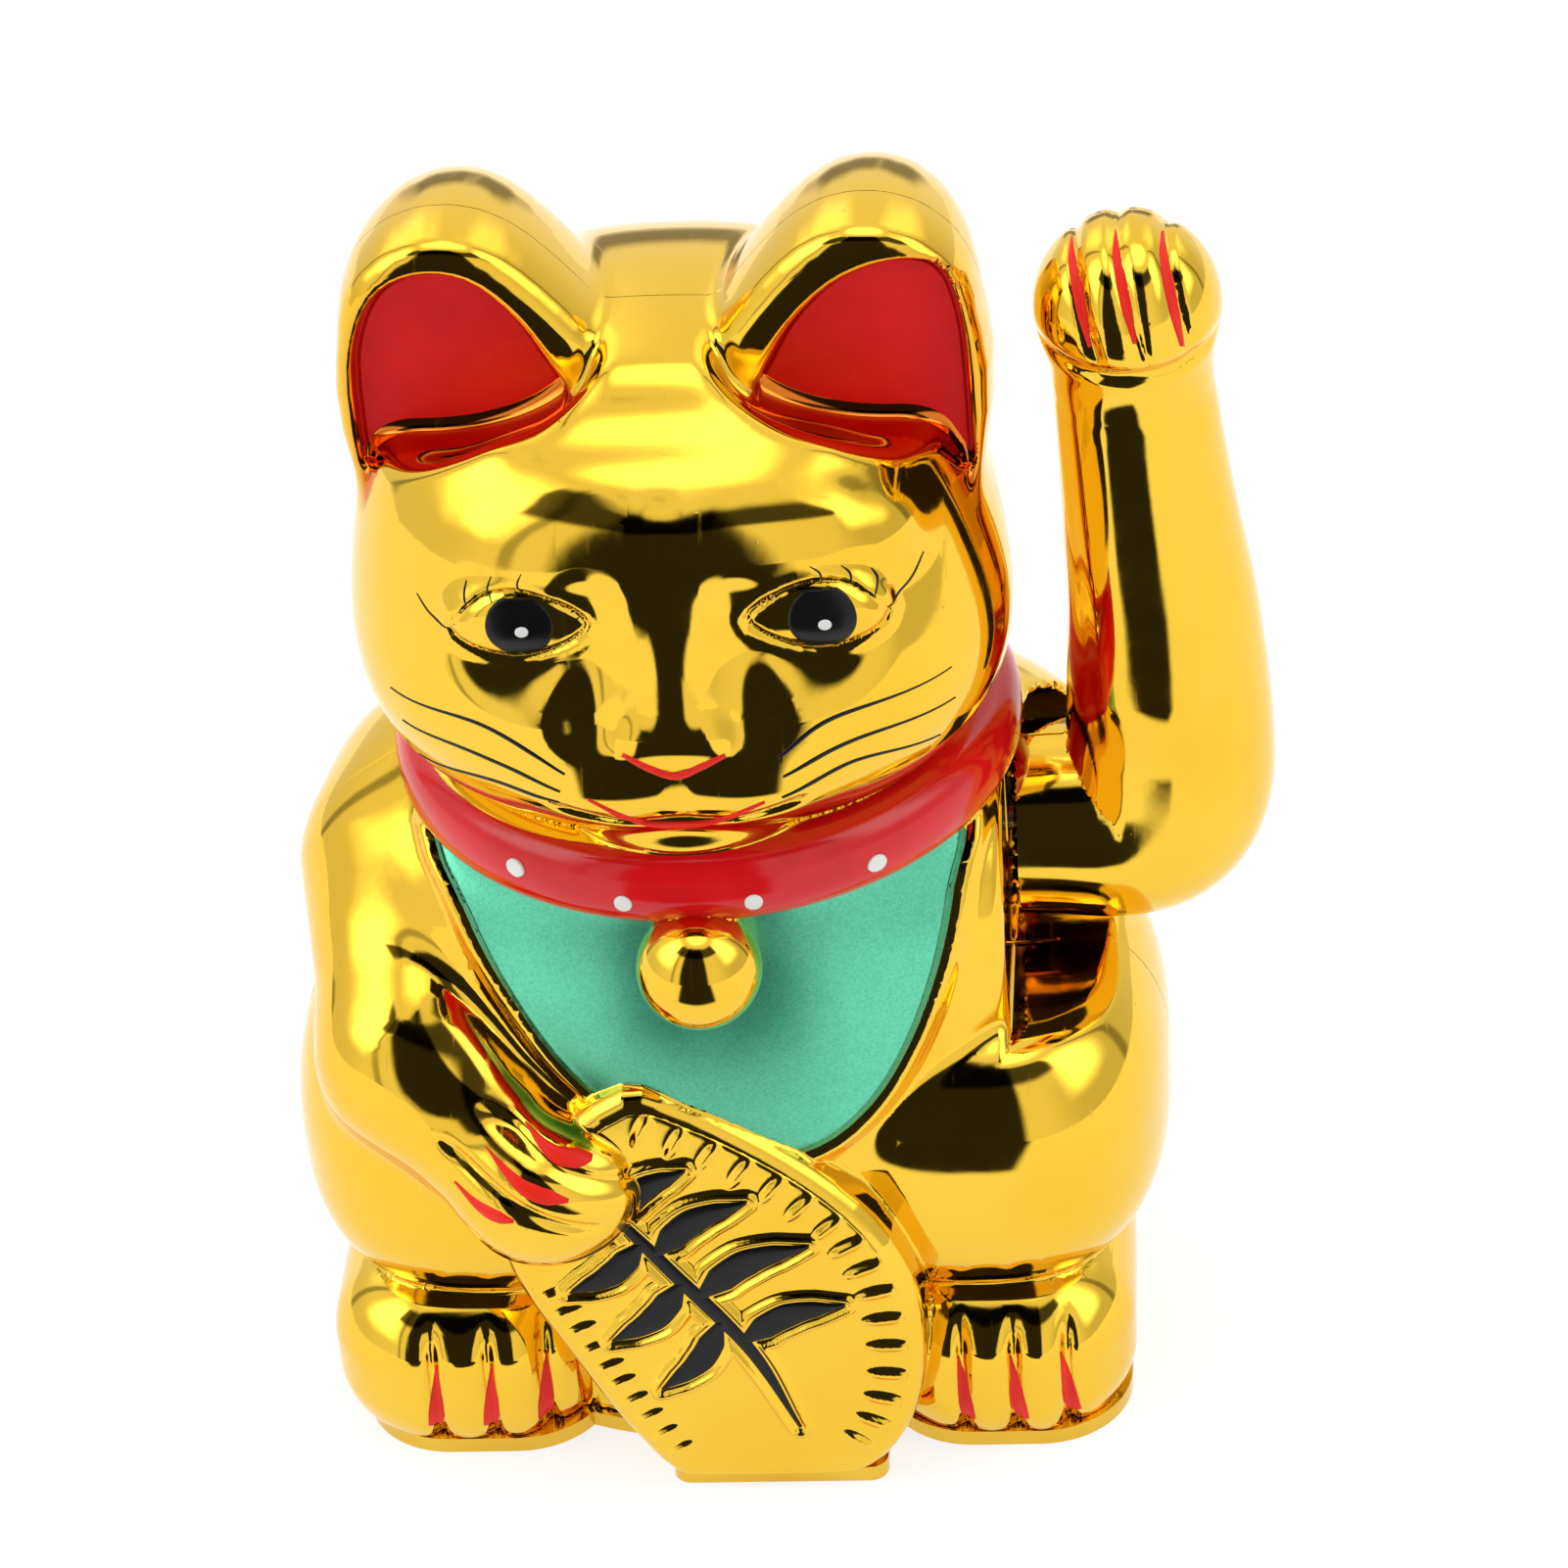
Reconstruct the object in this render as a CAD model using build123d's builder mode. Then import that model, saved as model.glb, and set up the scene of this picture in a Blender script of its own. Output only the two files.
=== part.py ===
from build123d import *
import os
import math

os.makedirs("parts", exist_ok=True)

# Waving-cat figurine, 6-inch class.  Millimetres, origin on the table under
# the middle of the base, front of the cat towards -Y, its waving paw on +X.

# ---------------------------------------------------------------- dimensions
wall = 2.0             # moulded shell wall
arm_wall = 1.8
seam_y = -6.5          # glue line between front and rear shell
plate_t = 2.0          # base plate, its edge shows as a rim under the feet
rim = 0.4              # how far that rim stands out past the shells

swing_y, swing_z = -2.0, 66.5      # axis of the waving arm, parallel to X
shaft_r = 1.5
bearing_r = 1.55                   # 0.05 running clearance on the shaft
hub_r = 1.52
pocket_x, pocket_r = 33.0, 14.5    # recess in the side for the shoulder end

# body: centre, radii (each blown-up form of the casting)
torso_balls = [
    ((0, 0, 60), (41, 35, 32)),
    ((29, 0, 62), (19.5, 24, 20.5)),
    ((-29, 0, 62), (19.5, 24, 20.5)),
    ((0, -0.5, 38), (43, 35, 30)),
    ((27.5, -5, 37), (23.3, 30, 20)),
    ((-27.5, -5, 37), (23.3, 30, 20)),
]
head_balls = [
    ((0, -3, 83), (31.8, 31.4, 11)),       # neck under the collar
    ((0, -3, 110), (34.6, 34, 28)),
    ((15, -14, 101), (18, 21, 15)),
    ((-15, -14, 101), (18, 21, 15)),
    ((0, -22, 97.5), (20, 17, 11.5)),
]
detail_balls = [                       # solid details, not hollowed
    ((0, -33, 106), (5.0, 7.2, 12.0)),     # nose ridge
    ((0.6, -38.2, 72.6), (7.0, 6.6, 7.0)), # bell under the collar
    ((-18, -38, 41.5), (10.5, 7.6, 9.2)),  # paw on the coin
    ((15, 32.5, 19), (10.5, 6.5, 8.5)),    # tail tucked against the back
]
skirt_low = (41.5, 32.5)
skirt_high = (42.3, 33.8)
skirt_y = 0.0
foot_x, foot_y, foot_w, foot_l, foot_h, foot_r = 30.6, -15.6, 31.8, 39.8, 20.8, 12.0
foot_under = -2.3      # the toes curl under to here before the base cuts them off
ear_outline = [(23.4, 106), (26.9, 127), (25.2, 141.4), (22.0, 142.2), (9.6, 128.6), (9.6, 106)]
ear_round, ear_half, ear_y = 8.6, 13.0, -2.2
collar_r, collar_z, collar_y = 31.4, 82.0, -3.0
coin_face_y, coin_t = -41.5, 11.0
coin_outline = [(-9.8, 57.4), (-3.0, 55.0), (4.2, 50.6), (11.4, 45.0), (18.2, 37.4),
                (21.2, 30.2), (22.1, 21.6), (21.6, 14.5), (20.2, 8.4), (17.2, plate_t),
                (-8.0, plate_t), (-10.6, 6.0), (-14.4, 12.0), (-18.7, 20.2), (-22.0, 26.8),
                (-24.5, 34.1), (-25.4, 39.8), (-20.0, 48.0)]

# ------------------------------------------------------------------- helpers
def ellipsoid(centre, radii, k, less=0.0):
    # a stretched ball; each is spun differently so that no two seams meet
    ball = Rot(90 + 13 * k, 17 * k, 31 * k + 11) * Sphere(1)
    return Pos(*centre) * scale(ball, by=tuple(r - less for r in radii))


def limb(p0, p1, r0, r1, spin=23):
    d = Vector(*p1) - Vector(*p0)
    with BuildPart(Plane(origin=p0, z_dir=d)) as seg:
        Cone(r0, r1, d.length, align=(Align.CENTER, Align.CENTER, Align.MIN),
             rotation=(0, 0, spin))
    return seg.part


def export(builder, label):
    builder.part.label = label
    export_step(builder.part, "parts/" + label + ".step")


# ------------------------------------------------------- cat form, outer skin
with BuildPart() as foot:
    with BuildSketch(Plane.XY.offset(foot_under)) as s:
        with Locations((foot_x, foot_y)):
            RectangleRounded(foot_w, foot_l, foot_r)
    extrude(amount=foot_h - foot_under)
    fillet(foot.faces().filter_by(Axis.Z).edges(), 9.0)

with BuildPart() as foot_core:
    with BuildSketch(Plane.XY.offset(-1)) as s:
        with Locations((foot_x, foot_y)):
            RectangleRounded(foot_w - 6.8, foot_l - 6.8, foot_r - 3.4)
    extrude(amount=foot_h - 3.8 + 1)

with BuildPart() as ear:
    with BuildSketch(Plane.XZ.offset(-ear_y)) as s:
        with BuildLine():
            Polyline(*ear_outline, close=True)
        make_face()
        offset(amount=ear_round)
    extrude(amount=ear_half, both=True)
    fillet(ear.faces().filter_by(Axis.Y).edges(), 8.0)

with BuildPart() as ear_core:
    with BuildSketch(Plane.XZ.offset(-ear_y)) as s:
        with BuildLine():
            Polyline(*ear_outline, close=True)
        make_face()
        offset(amount=ear_round - 3.4)
    extrude(amount=ear_half - 3.4, both=True)

with BuildPart() as coin:
    with BuildSketch(Plane.XZ.offset(-coin_face_y)) as s:
        with BuildLine():
            Polyline(*coin_outline, close=True)
        make_face()
    extrude(amount=-coin_t)
    front = coin.faces().sort_by(Axis.Y)[0]
    with BuildSketch(Plane.XZ.offset(-coin_face_y)) as s2:
        with Locations((-1.6, 27.5)):
            Ellipse(11.5, 17.5, rotation=29)
    extrude(amount=-0.7, mode=Mode.SUBTRACT)

with BuildPart() as collar:
    with BuildSketch(Plane.XZ.offset(-collar_y)) as s:
        with Locations((collar_r, collar_z)):
            Ellipse(4.0, 4.9)
    revolve(axis=Axis((0, collar_y, 0), (0, 0, 1)))

with BuildPart() as skirt:
    with BuildSketch(Plane.XY.offset(plate_t)) as s0:
        with Locations((0, skirt_y)):
            Ellipse(*skirt_low)
    with BuildSketch(Plane.XY.offset(34)) as s1:
        with Locations((0, skirt_y)):
            Ellipse(*skirt_high)
    loft()

with BuildPart() as skirt_core:
    with BuildSketch(Plane.XY.offset(-1)) as s0:
        with Locations((0, skirt_y)):
            Ellipse(skirt_low[0] - wall, skirt_low[1] - wall)
    with BuildSketch(Plane.XY.offset(34)) as s1:
        with Locations((0, skirt_y)):
            Ellipse(skirt_high[0] - wall, skirt_high[1] - wall)
    loft()

left_upper = limb((-34.5, -4, 63), (-32.0, -26, 50.5), 14.5, 11.0)
left_lower = limb((-33.5, -22, 52.5), (-19.5, -37.5, 42.0), 11.4, 8.4, 51)
elbow_ball = ellipsoid((-32.8, -23.0, 51.8), (12.4, 11.8, 11.8), 3)

torso_out = [ellipsoid(c, r, k) for k, (c, r) in enumerate(torso_balls)]
head_out = [ellipsoid(c, r, k + 7) for k, (c, r) in enumerate(head_balls)]
details = [ellipsoid(c, r, k + 12) for k, (c, r) in enumerate(detail_balls)]
torso_in = [ellipsoid(c, r, k + 2, wall) for k, (c, r) in enumerate(torso_balls)]
head_in = [ellipsoid(c, r, k + 9, wall) for k, (c, r) in enumerate(head_balls)]

with BuildPart() as outer_form:
    for form in torso_out + head_out:
        add(form)
    add(skirt.part)
    add(foot.part)
    add(mirror(foot.part, about=Plane.YZ, mode=Mode.PRIVATE))
    add(ear.part)
    add(mirror(ear.part, about=Plane.YZ, mode=Mode.PRIVATE))
    for form in details + [elbow_ball, left_upper, left_lower]:
        add(form)
    add(collar.part)
    add(coin.part)
    # side recess for the shoulder end of the waving arm, open to the front
    with BuildSketch(Plane.YZ.offset(pocket_x)) as s:
        with Locations((swing_y, swing_z)):
            Circle(pocket_r)
        with Locations((swing_y - 30, swing_z)):
            Rectangle(60, 2 * pocket_r)
    extrude(amount=40, mode=Mode.SUBTRACT)
    # everything stands on the base plate
    with Locations((0, 0, plate_t)):
        Box(200, 200, 60, align=(Align.CENTER, Align.CENTER, Align.MAX), mode=Mode.SUBTRACT)

with BuildPart() as inner_form:
    for form in torso_in + head_in:
        add(form)
    add(skirt_core.part)
    add(foot_core.part)
    add(mirror(foot_core.part, about=Plane.YZ, mode=Mode.PRIVATE))
    add(ear_core.part)
    add(mirror(ear_core.part, about=Plane.YZ, mode=Mode.PRIVATE))
    with BuildSketch(Plane.YZ.offset(pocket_x - wall)) as s:
        with Locations((swing_y, swing_z)):
            Circle(pocket_r + wall)
        with Locations((swing_y - 30, swing_z)):
            Rectangle(60, 2 * (pocket_r + wall))
    extrude(amount=40, mode=Mode.SUBTRACT)

with BuildPart() as shell:
    add(outer_form.part)
    add(inner_form.part, mode=Mode.SUBTRACT)

# ---------------------------------------------------------------- two shells
boss_spots_front = [(39.2, -18.0), (-39.2, -18.0)]
boss_spots_rear = [(32.9, 9.0), (-32.9, 9.0)]
rib_spots_front = [(42.6, -18.0), (-42.6, -18.0)]      # webs from boss to wall
rib_spots_rear = [(36.4, 9.0), (-36.4, 9.0)]
seam_pins = [(30.4, 106.0), (-30.4, 106.0), (46.2, 42.0), (-46.2, 42.0)]
boss_r, pilot_r, boss_low, boss_high = 3.2, 1.25, 4.0, 14.0

with BuildPart() as front_shell:
    add(shell.part)
    split(bisect_by=Plane(origin=(0, seam_y, 0), z_dir=(0, -1, 0)), keep=Keep.TOP)
    with BuildSketch(Plane.XY.offset(boss_low)) as s:
        with Locations(*boss_spots_front):
            Circle(boss_r)
        with Locations(*rib_spots_front):
            Rectangle(4.0, 1.6)
    extrude(amount=boss_high - boss_low)
    with BuildSketch(Plane.XY.offset(boss_low)) as s:
        with Locations(*boss_spots_front):
            Circle(pilot_r)
    extrude(amount=8.0, mode=Mode.SUBTRACT)
    with BuildSketch(Plane.XZ.offset(-seam_y)) as s:
        with Locations(*seam_pins):
            Circle(3.0)
    extrude(amount=5.0)
    with BuildSketch(Plane.XZ.offset(-seam_y)) as s:
        with Locations(*seam_pins):
            Circle(1.6)
    extrude(amount=3.6, mode=Mode.SUBTRACT)

with BuildPart() as rear_shell:
    add(shell.part)
    split(bisect_by=Plane(origin=(0, seam_y, 0), z_dir=(0, 1, 0)), keep=Keep.TOP)
    with BuildSketch(Plane.XY.offset(boss_low)) as s:
        with Locations(*boss_spots_rear):
            Circle(boss_r)
        with Locations(*rib_spots_rear):
            Rectangle(4.6, 1.6)
    extrude(amount=boss_high - boss_low)
    with BuildSketch(Plane.XY.offset(boss_low)) as s:
        with Locations(*boss_spots_rear):
            Circle(pilot_r)
    extrude(amount=8.0, mode=Mode.SUBTRACT)
    with BuildSketch(Plane.XZ.offset(-seam_y)) as s:
        with Locations(*seam_pins):
            Circle(3.0)
    extrude(amount=-5.0)
    with BuildSketch(Plane.XZ.offset(-seam_y)) as s:
        with Locations(*seam_pins):
            Circle(1.5)
    extrude(amount=3.0)
    # shaft window in the floor of the side recess
    with BuildSketch(Plane.YZ.offset(pocket_x - wall - 1)) as s:
        with Locations((swing_y, swing_z)):
            Circle(2.5)
    extrude(amount=wall + 2, mode=Mode.SUBTRACT)

# ---------------------------------------------------------------- base plate
bay_x0, bay_x1, bay_y0, bay_y1, bay_top = -28.2, 26.8, 2.0, 18.6, 18.0
bay_wall = 1.2
batt_y, batt_z, batt_r = 10.5, 10.2, 7.25
door_x0, door_x1, door_y1 = -27.2, 25.8, 18.1
hinge_y, hinge_z = 3.6, 1.6
switch_x, switch_y = -33.0, -9.0
board_posts = [(-23.0, -13.0), (-9.0, -3.0)]
frame_posts = [(8.0, -16.5), (20.0, -16.5)]
peg_spots = [(7.0, 5.5), (21.0, 5.5)]

with BuildPart() as base_plate:
    with BuildSketch(Plane.XY) as s:
        with Locations((0, skirt_y)):
            Ellipse(skirt_low[0] + rim, skirt_low[1] + rim)
        with Locations((foot_x, foot_y), (-foot_x, foot_y)):
            RectangleRounded(foot_w - 2.6, foot_l - 2.6, foot_r - 1.3)
        with Locations((4.6, coin_face_y + 5.6)):
            RectangleRounded(25.0, 8.4, 2.2)
    extrude(amount=plate_t)
    # battery bay: a box on the inside of the plate
    with BuildSketch(Plane.XY) as s:
        with Locations(((bay_x0 + bay_x1) / 2, (bay_y0 + bay_y1) / 2)):
            Rectangle(bay_x1 - bay_x0 + 2 * bay_wall, bay_y1 - bay_y0 + 2 * bay_wall)
    extrude(amount=bay_top + bay_wall)
    with BuildSketch(Plane.XY.offset(plate_t)) as s:
        with Locations(((bay_x0 + bay_x1) / 2, (bay_y0 + bay_y1) / 2)):
            Rectangle(bay_x1 - bay_x0, bay_y1 - bay_y0)
    extrude(amount=bay_top - plate_t, mode=Mode.SUBTRACT)
    with BuildSketch(Plane.XY.offset(-1)) as s:
        with Locations(((door_x0 + door_x1) / 2, (bay_y0 + 18.5) / 2)):
            Rectangle(door_x1 - door_x0 + 0.8, 18.5 - bay_y0)
    extrude(amount=plate_t + 2, mode=Mode.SUBTRACT)
    # sockets for the door's hinge pins
    with BuildSketch(Plane.YZ.offset(bay_x0 - bay_wall - 1)) as s:
        with Locations((hinge_y, hinge_z)):
            Circle(1.05)
    extrude(amount=bay_x1 - bay_x0 + 2 * bay_wall + 2, mode=Mode.SUBTRACT)
    # wire exits in the front wall of the bay
    with BuildSketch(Plane.XZ.offset(-bay_y0 - 1)) as s:
        with Locations((-24.0, 15.8), (-19.0, 15.8)):
            Circle(0.8)
    extrude(amount=bay_wall + 2, mode=Mode.SUBTRACT)
    # screw cups to the shells
    with BuildSketch(Plane.XY) as s:
        with Locations(*boss_spots_front, *boss_spots_rear):
            Circle(3.2)
    extrude(amount=boss_low)
    with BuildSketch(Plane.XY) as s:
        with Locations(*boss_spots_front, *boss_spots_rear):
            Circle(2.5)
    extrude(amount=2.4, mode=Mode.SUBTRACT)
    with BuildSketch(Plane.XY) as s:
        with Locations(*boss_spots_front, *boss_spots_rear):
            Circle(1.35)
    extrude(amount=boss_low + 1, mode=Mode.SUBTRACT)
    # posts for the movement frame and the circuit board
    with BuildSketch(Plane.XY.offset(plate_t)) as s:
        with Locations(*frame_posts):
            Circle(3.0)
    extrude(amount=6.0)
    with BuildSketch(Plane.XY.offset(plate_t)) as s:
        with Locations(*board_posts):
            Circle(2.2)
    extrude(amount=4.0)
    with BuildSketch(Plane.XY.offset(plate_t + 0.5)) as s:
        with Locations(*frame_posts, *board_posts):
            Circle(0.95)
    extrude(amount=8, mode=Mode.SUBTRACT)
    # pegs that locate the back of the movement frame on the bay roof
    with BuildSketch(Plane.XY.offset(bay_top + bay_wall)) as s:
        with Locations(*peg_spots):
            Circle(1.0)
    extrude(amount=3.0)
    # slot for the switch knob
    with BuildSketch(Plane.XY.offset(-1)) as s:
        with Locations((switch_x, switch_y)):
            Rectangle(4.6, 2.6)
    extrude(amount=plate_t + 2, mode=Mode.SUBTRACT)

with BuildPart() as battery_door:
    with BuildSketch(Plane.XY.offset(0.4)) as s:
        with Locations(((door_x0 + door_x1) / 2, (hinge_y + door_y1) / 2)):
            Rectangle(door_x1 - door_x0, door_y1 - hinge_y)
    extrude(amount=1.3)
    with BuildSketch(Plane.YZ.offset(door_x0)) as s:
        with Locations((hinge_y, hinge_z)):
            Circle(1.2)
    extrude(amount=door_x1 - door_x0)
    with BuildSketch(Plane.YZ.offset(door_x0 - 1.6)) as s:
        with Locations((hinge_y, hinge_z)):
            Circle(1.0)
    extrude(amount=door_x1 - door_x0 + 3.2)
    # finger recess at the free edge
    with BuildSketch(Plane.XY.offset(0.4)) as s:
        with Locations(((door_x0 + door_x1) / 2, door_y1 - 2.0)):
            RectangleRounded(12, 2.4, 1.0)
    extrude(amount=0.7, mode=Mode.SUBTRACT)

# ---------------------------------------------------------------- waving arm
arm_x0 = 34.0
forearm = [((51.2, -2.0, 66.5), 11.4), ((52.3, -2.6, 78.0), 11.1), ((52.0, -3.1, 90.0), 10.3),
           ((50.8, -3.6, 105.0), 9.6), ((49.4, -4.2, 120.0), 8.9), ((48.9, -5.2, 130.0), 8.6)]


def arm_form(less):
    with BuildPart() as f:
        with BuildSketch(Plane.YZ.offset(arm_x0 + less)) as s0:
            with Locations((swing_y, swing_z)):
                Circle(11.1 - less)
        with BuildSketch(Plane.YZ.offset(51.0)) as s1:
            with Locations((swing_y, swing_z)):
                Circle(11.6 - less)
        loft()
        with Locations((50.4, swing_y, swing_z)):
            Sphere(12.0 - less, rotation=(35, 15, 40))
    with BuildPart() as g:
        for (x, y, z), r in forearm:
            with BuildSketch(Plane.XY.offset(z)) as s:
                with Locations((x, y)):
                    Circle(r - less)
        loft()
        with Locations((48.9, -5.8, 135.3)):
            Sphere(10.3 - less, rotation=(35, 15, 40))
    with BuildPart() as both:
        add(f.part)
        add(g.part)
    return both.part


arm_out = arm_form(0.0)
arm_in = arm_form(arm_wall)

with BuildPart() as arm_hollow:
    add(arm_out)
    add(arm_in, mode=Mode.SUBTRACT)
    # shoulder boss that grips the shaft
    with BuildSketch(Plane.YZ.offset(arm_x0)) as s:
        with Locations((swing_y, swing_z)):
            Circle(4.0)
    extrude(amount=14)
    with BuildSketch(Plane.YZ.offset(arm_x0 - 1)) as s:
        with Locations((swing_y, swing_z)):
            Circle(hub_r)
    extrude(amount=13, mode=Mode.SUBTRACT)

with BuildPart() as arm_front_shell:
    add(arm_hollow.part)
    split(bisect_by=Plane(origin=(0, swing_y, 0), z_dir=(0, -1, 0)), keep=Keep.TOP)

with BuildPart() as arm_rear_shell:
    add(arm_hollow.part)
    split(bisect_by=Plane(origin=(0, swing_y, 0), z_dir=(0, 1, 0)), keep=Keep.TOP)

# ------------------------------------------------------------------ pendulum
lever_x = 14.0
clip_x = [1.9, 25.4]
clip_t = 0.6

with BuildPart() as arm_shaft:
    with BuildSketch(Plane.YZ.offset(0.8)) as s:
        with Locations((swing_y, swing_z)):
            Circle(shaft_r)
    extrude(amount=45.5 - 0.8)
    for x in clip_x:
        with BuildSketch(Plane.YZ.offset(x - 0.05)) as s:
            with Locations((swing_y, swing_z)):
                Circle(shaft_r + 1)
                Circle(1.2, mode=Mode.SUBTRACT)
        extrude(amount=clip_t + 0.1, mode=Mode.SUBTRACT)

with BuildPart() as shaft_clips:
    for x in clip_x:
        with BuildSketch(Plane.YZ.offset(x)) as s:
            with Locations((swing_y, swing_z)):
                Circle(3.0)
                Circle(1.22, mode=Mode.SUBTRACT)
            with Locations((swing_y, swing_z - 3.0)):
                Rectangle(1.6, 4.0, mode=Mode.SUBTRACT)
        extrude(amount=clip_t)

with BuildPart() as pendulum_lever:
    with BuildSketch(Plane.YZ.offset(lever_x - 4)) as s:
        with Locations((swing_y, swing_z)):
            Circle(4.2)
    extrude(amount=8)
    with BuildSketch(Plane.YZ.offset(lever_x - 1.25)) as s:
        with Locations((swing_y, (swing_z + 32) / 2)):
            Rectangle(8.0, swing_z - 32)
    extrude(amount=2.5)
    with BuildSketch(Plane.XY.offset(32)) as s:
        with Locations((lever_x, swing_y)):
            Circle(5.5)
    extrude(amount=1.2)
    with BuildSketch(Plane.YZ.offset(lever_x - 5)) as s:
        with Locations((swing_y, swing_z)):
            Circle(hub_r)
    extrude(amount=10, mode=Mode.SUBTRACT)

with BuildPart() as counterweight:
    with BuildSketch(Plane.XY.offset(33.4)) as s:
        with Locations((lever_x, swing_y)):
            RectangleRounded(12.0, 20.0, 1.5)
            Rectangle(2.6, 8.1, mode=Mode.SUBTRACT)
    extrude(amount=17.0)

with BuildPart() as drive_magnet:
    with BuildSketch(Plane.XY.offset(28)) as s:
        with Locations((lever_x, swing_y)):
            Circle(5.0)
    extrude(amount=4.0)
    chamfer(drive_magnet.edges().filter_by(GeomType.CIRCLE), 0.3)

# ------------------------------------------------------------------ movement
fr_x0, fr_x1, fr_t, shelf_z = 3.0, 25.0, 2.0, bay_top + bay_wall

with BuildPart() as movement_frame:
    with BuildSketch(Plane.XY.offset(shelf_z)) as s:
        with Locations(((fr_x0 + fr_x1) / 2, -2.0)):
            Rectangle(fr_x1 - fr_x0, 22.0)
        with Locations(*peg_spots):
            Circle(1.05, mode=Mode.SUBTRACT)
    extrude(amount=fr_t)
    for x in (fr_x0, fr_x1 - fr_t):
        with BuildSketch(Plane.YZ.offset(x)) as s:
            with BuildLine():
                Polyline((-10, shelf_z), (6, shelf_z), (2.5, 76.0), (-6.5, 76.0), close=True)
            make_face()
            with Locations((swing_y, swing_z)):
                Circle(bearing_r, mode=Mode.SUBTRACT)
            with Locations((-2.0, 42.0)):
                SlotOverall(24, 5.0, rotation=90, mode=Mode.SUBTRACT)
        extrude(amount=fr_t)
    with BuildSketch(Plane.XY.offset(74.0)) as s:
        with Locations(((fr_x0 + fr_x1) / 2, -2.0)):
            Rectangle(fr_x1 - fr_x0, 8.0)
    extrude(amount=2.0)
    # front legs with screw feet
    with BuildSketch(Plane.XZ.offset(11.0)) as s:
        with Locations(((fr_x0 + fr_x1) / 2, (8.0 + shelf_z) / 2)):
            Rectangle(fr_x1 - fr_x0, shelf_z - 8.0)
            RectangleRounded(8.0, 7.0, 1.5, mode=Mode.SUBTRACT)
    extrude(amount=2.0)
    with BuildSketch(Plane.XY.offset(8.0)) as s:
        with Locations(((fr_x0 + fr_x1) / 2, -15.8)):
            Rectangle(fr_x1 - fr_x0, 9.6)
        with Locations(*frame_posts):
            Circle(1.2, mode=Mode.SUBTRACT)
    extrude(amount=1.8)

with BuildPart() as coil_bobbin:
    with BuildSketch(Plane.XY.offset(shelf_z + fr_t)) as s:
        with Locations((lever_x, swing_y)):
            Circle(8.0)
    extrude(amount=0.9)
    with BuildSketch(Plane.XY.offset(shelf_z + fr_t)) as s:
        with Locations((lever_x, swing_y)):
            Circle(3.6)
    extrude(amount=4.9)
    with BuildSketch(Plane.XY.offset(shelf_z + fr_t + 4.0)) as s:
        with Locations((lever_x, swing_y)):
            Circle(8.0)
    extrude(amount=0.9)
    with BuildSketch(Plane.XY.offset(shelf_z + fr_t)) as s:
        with Locations((lever_x, swing_y)):
            Circle(2.0)
    extrude(amount=6, mode=Mode.SUBTRACT)

with BuildPart() as coil_winding:
    with BuildSketch(Plane.XY.offset(shelf_z + fr_t + 0.95)) as s:
        with Locations((lever_x, swing_y)):
            Circle(7.2)
            Circle(3.65, mode=Mode.SUBTRACT)
    extrude(amount=3.0)

board_z = plate_t + 4.0
with BuildPart() as circuit_board:
    with BuildSketch(Plane.XY.offset(board_z)) as s:
        with Locations((-16.0, -8.0)):
            Rectangle(20.0, 16.0)
        with Locations(*board_posts):
            Circle(1.2, mode=Mode.SUBTRACT)
    extrude(amount=1.2)

with BuildPart() as driver_chip:
    with BuildSketch(Plane.XY.offset(board_z + 1.35)) as s:
        with Locations((-14.0, -10.5)):
            Rectangle(5.0, 4.0)
    extrude(amount=1.5)
    with BuildSketch(Plane.XY.offset(board_z + 1.2)) as s:
        with Locations((-14.0, -10.5)):
            with GridLocations(1.27, 6.0, 4, 2):
                Rectangle(0.45, 1.4)
    extrude(amount=0.5)
    with BuildSketch(Plane.XY.offset(board_z + 1.5)) as s:
        with Locations((-14.0, -10.5)):
            with GridLocations(1.27, 4.6, 4, 2):
                Rectangle(0.45, 1.8)
    extrude(amount=0.5)

with BuildPart() as filter_capacitor:
    with BuildSketch(Plane.XY.offset(board_z + 1.2)) as s:
        with Locations((-20.5, -4.5)):
            Circle(2.5)
    extrude(amount=7.0)
    fillet(filter_capacitor.edges().filter_by(GeomType.CIRCLE).sort_by(Axis.Z)[-1], 0.5)

# --------------------------------------------------------- battery and wiring
with BuildPart() as battery_cell:
    with BuildSketch(Plane.YZ.offset(-25.2)) as s:
        with Locations((batt_y, batt_z)):
            Circle(batt_r)
    extrude(amount=49.4)
    fillet(battery_cell.edges().filter_by(GeomType.CIRCLE), 0.5)
    with BuildSketch(Plane.YZ.offset(24.2)) as s:
        with Locations((batt_y, batt_z)):
            Circle(2.7)
    extrude(amount=1.0)

with BuildPart() as negative_contact:
    with BuildSketch(Plane.YZ.offset(-28.2)) as s:
        with Locations((batt_y, 10.4)):
            Rectangle(12.0, 13.6)
    extrude(amount=0.4)
    with BuildLine() as coil_path:
        Helix(pitch=0.95, height=1.85, radius=3.4, center=(-27.45, batt_y, batt_z), direction=(1, 0, 0))
    with BuildSketch(Plane(origin=coil_path.line @ 0, z_dir=coil_path.line % 0)) as s:
        Circle(0.3)
    sweep(path=coil_path.line, is_frenet=True)
    with BuildSketch(Plane.YZ.offset(-27.85)) as s:
        with Locations((batt_y, batt_z)):
            Circle(3.9)
            Circle(2.9, mode=Mode.SUBTRACT)
    extrude(amount=0.6)

with BuildPart() as positive_contact:
    with BuildSketch(Plane.YZ.offset(26.3)) as s:
        with Locations((batt_y, 10.4)):
            Rectangle(12.0, 13.6)
    extrude(amount=0.4)
    with BuildSketch(Plane.YZ.offset(25.3)) as s:
        with Locations((batt_y, batt_z)):
            Circle(2.4)
    extrude(amount=1.1)

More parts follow.
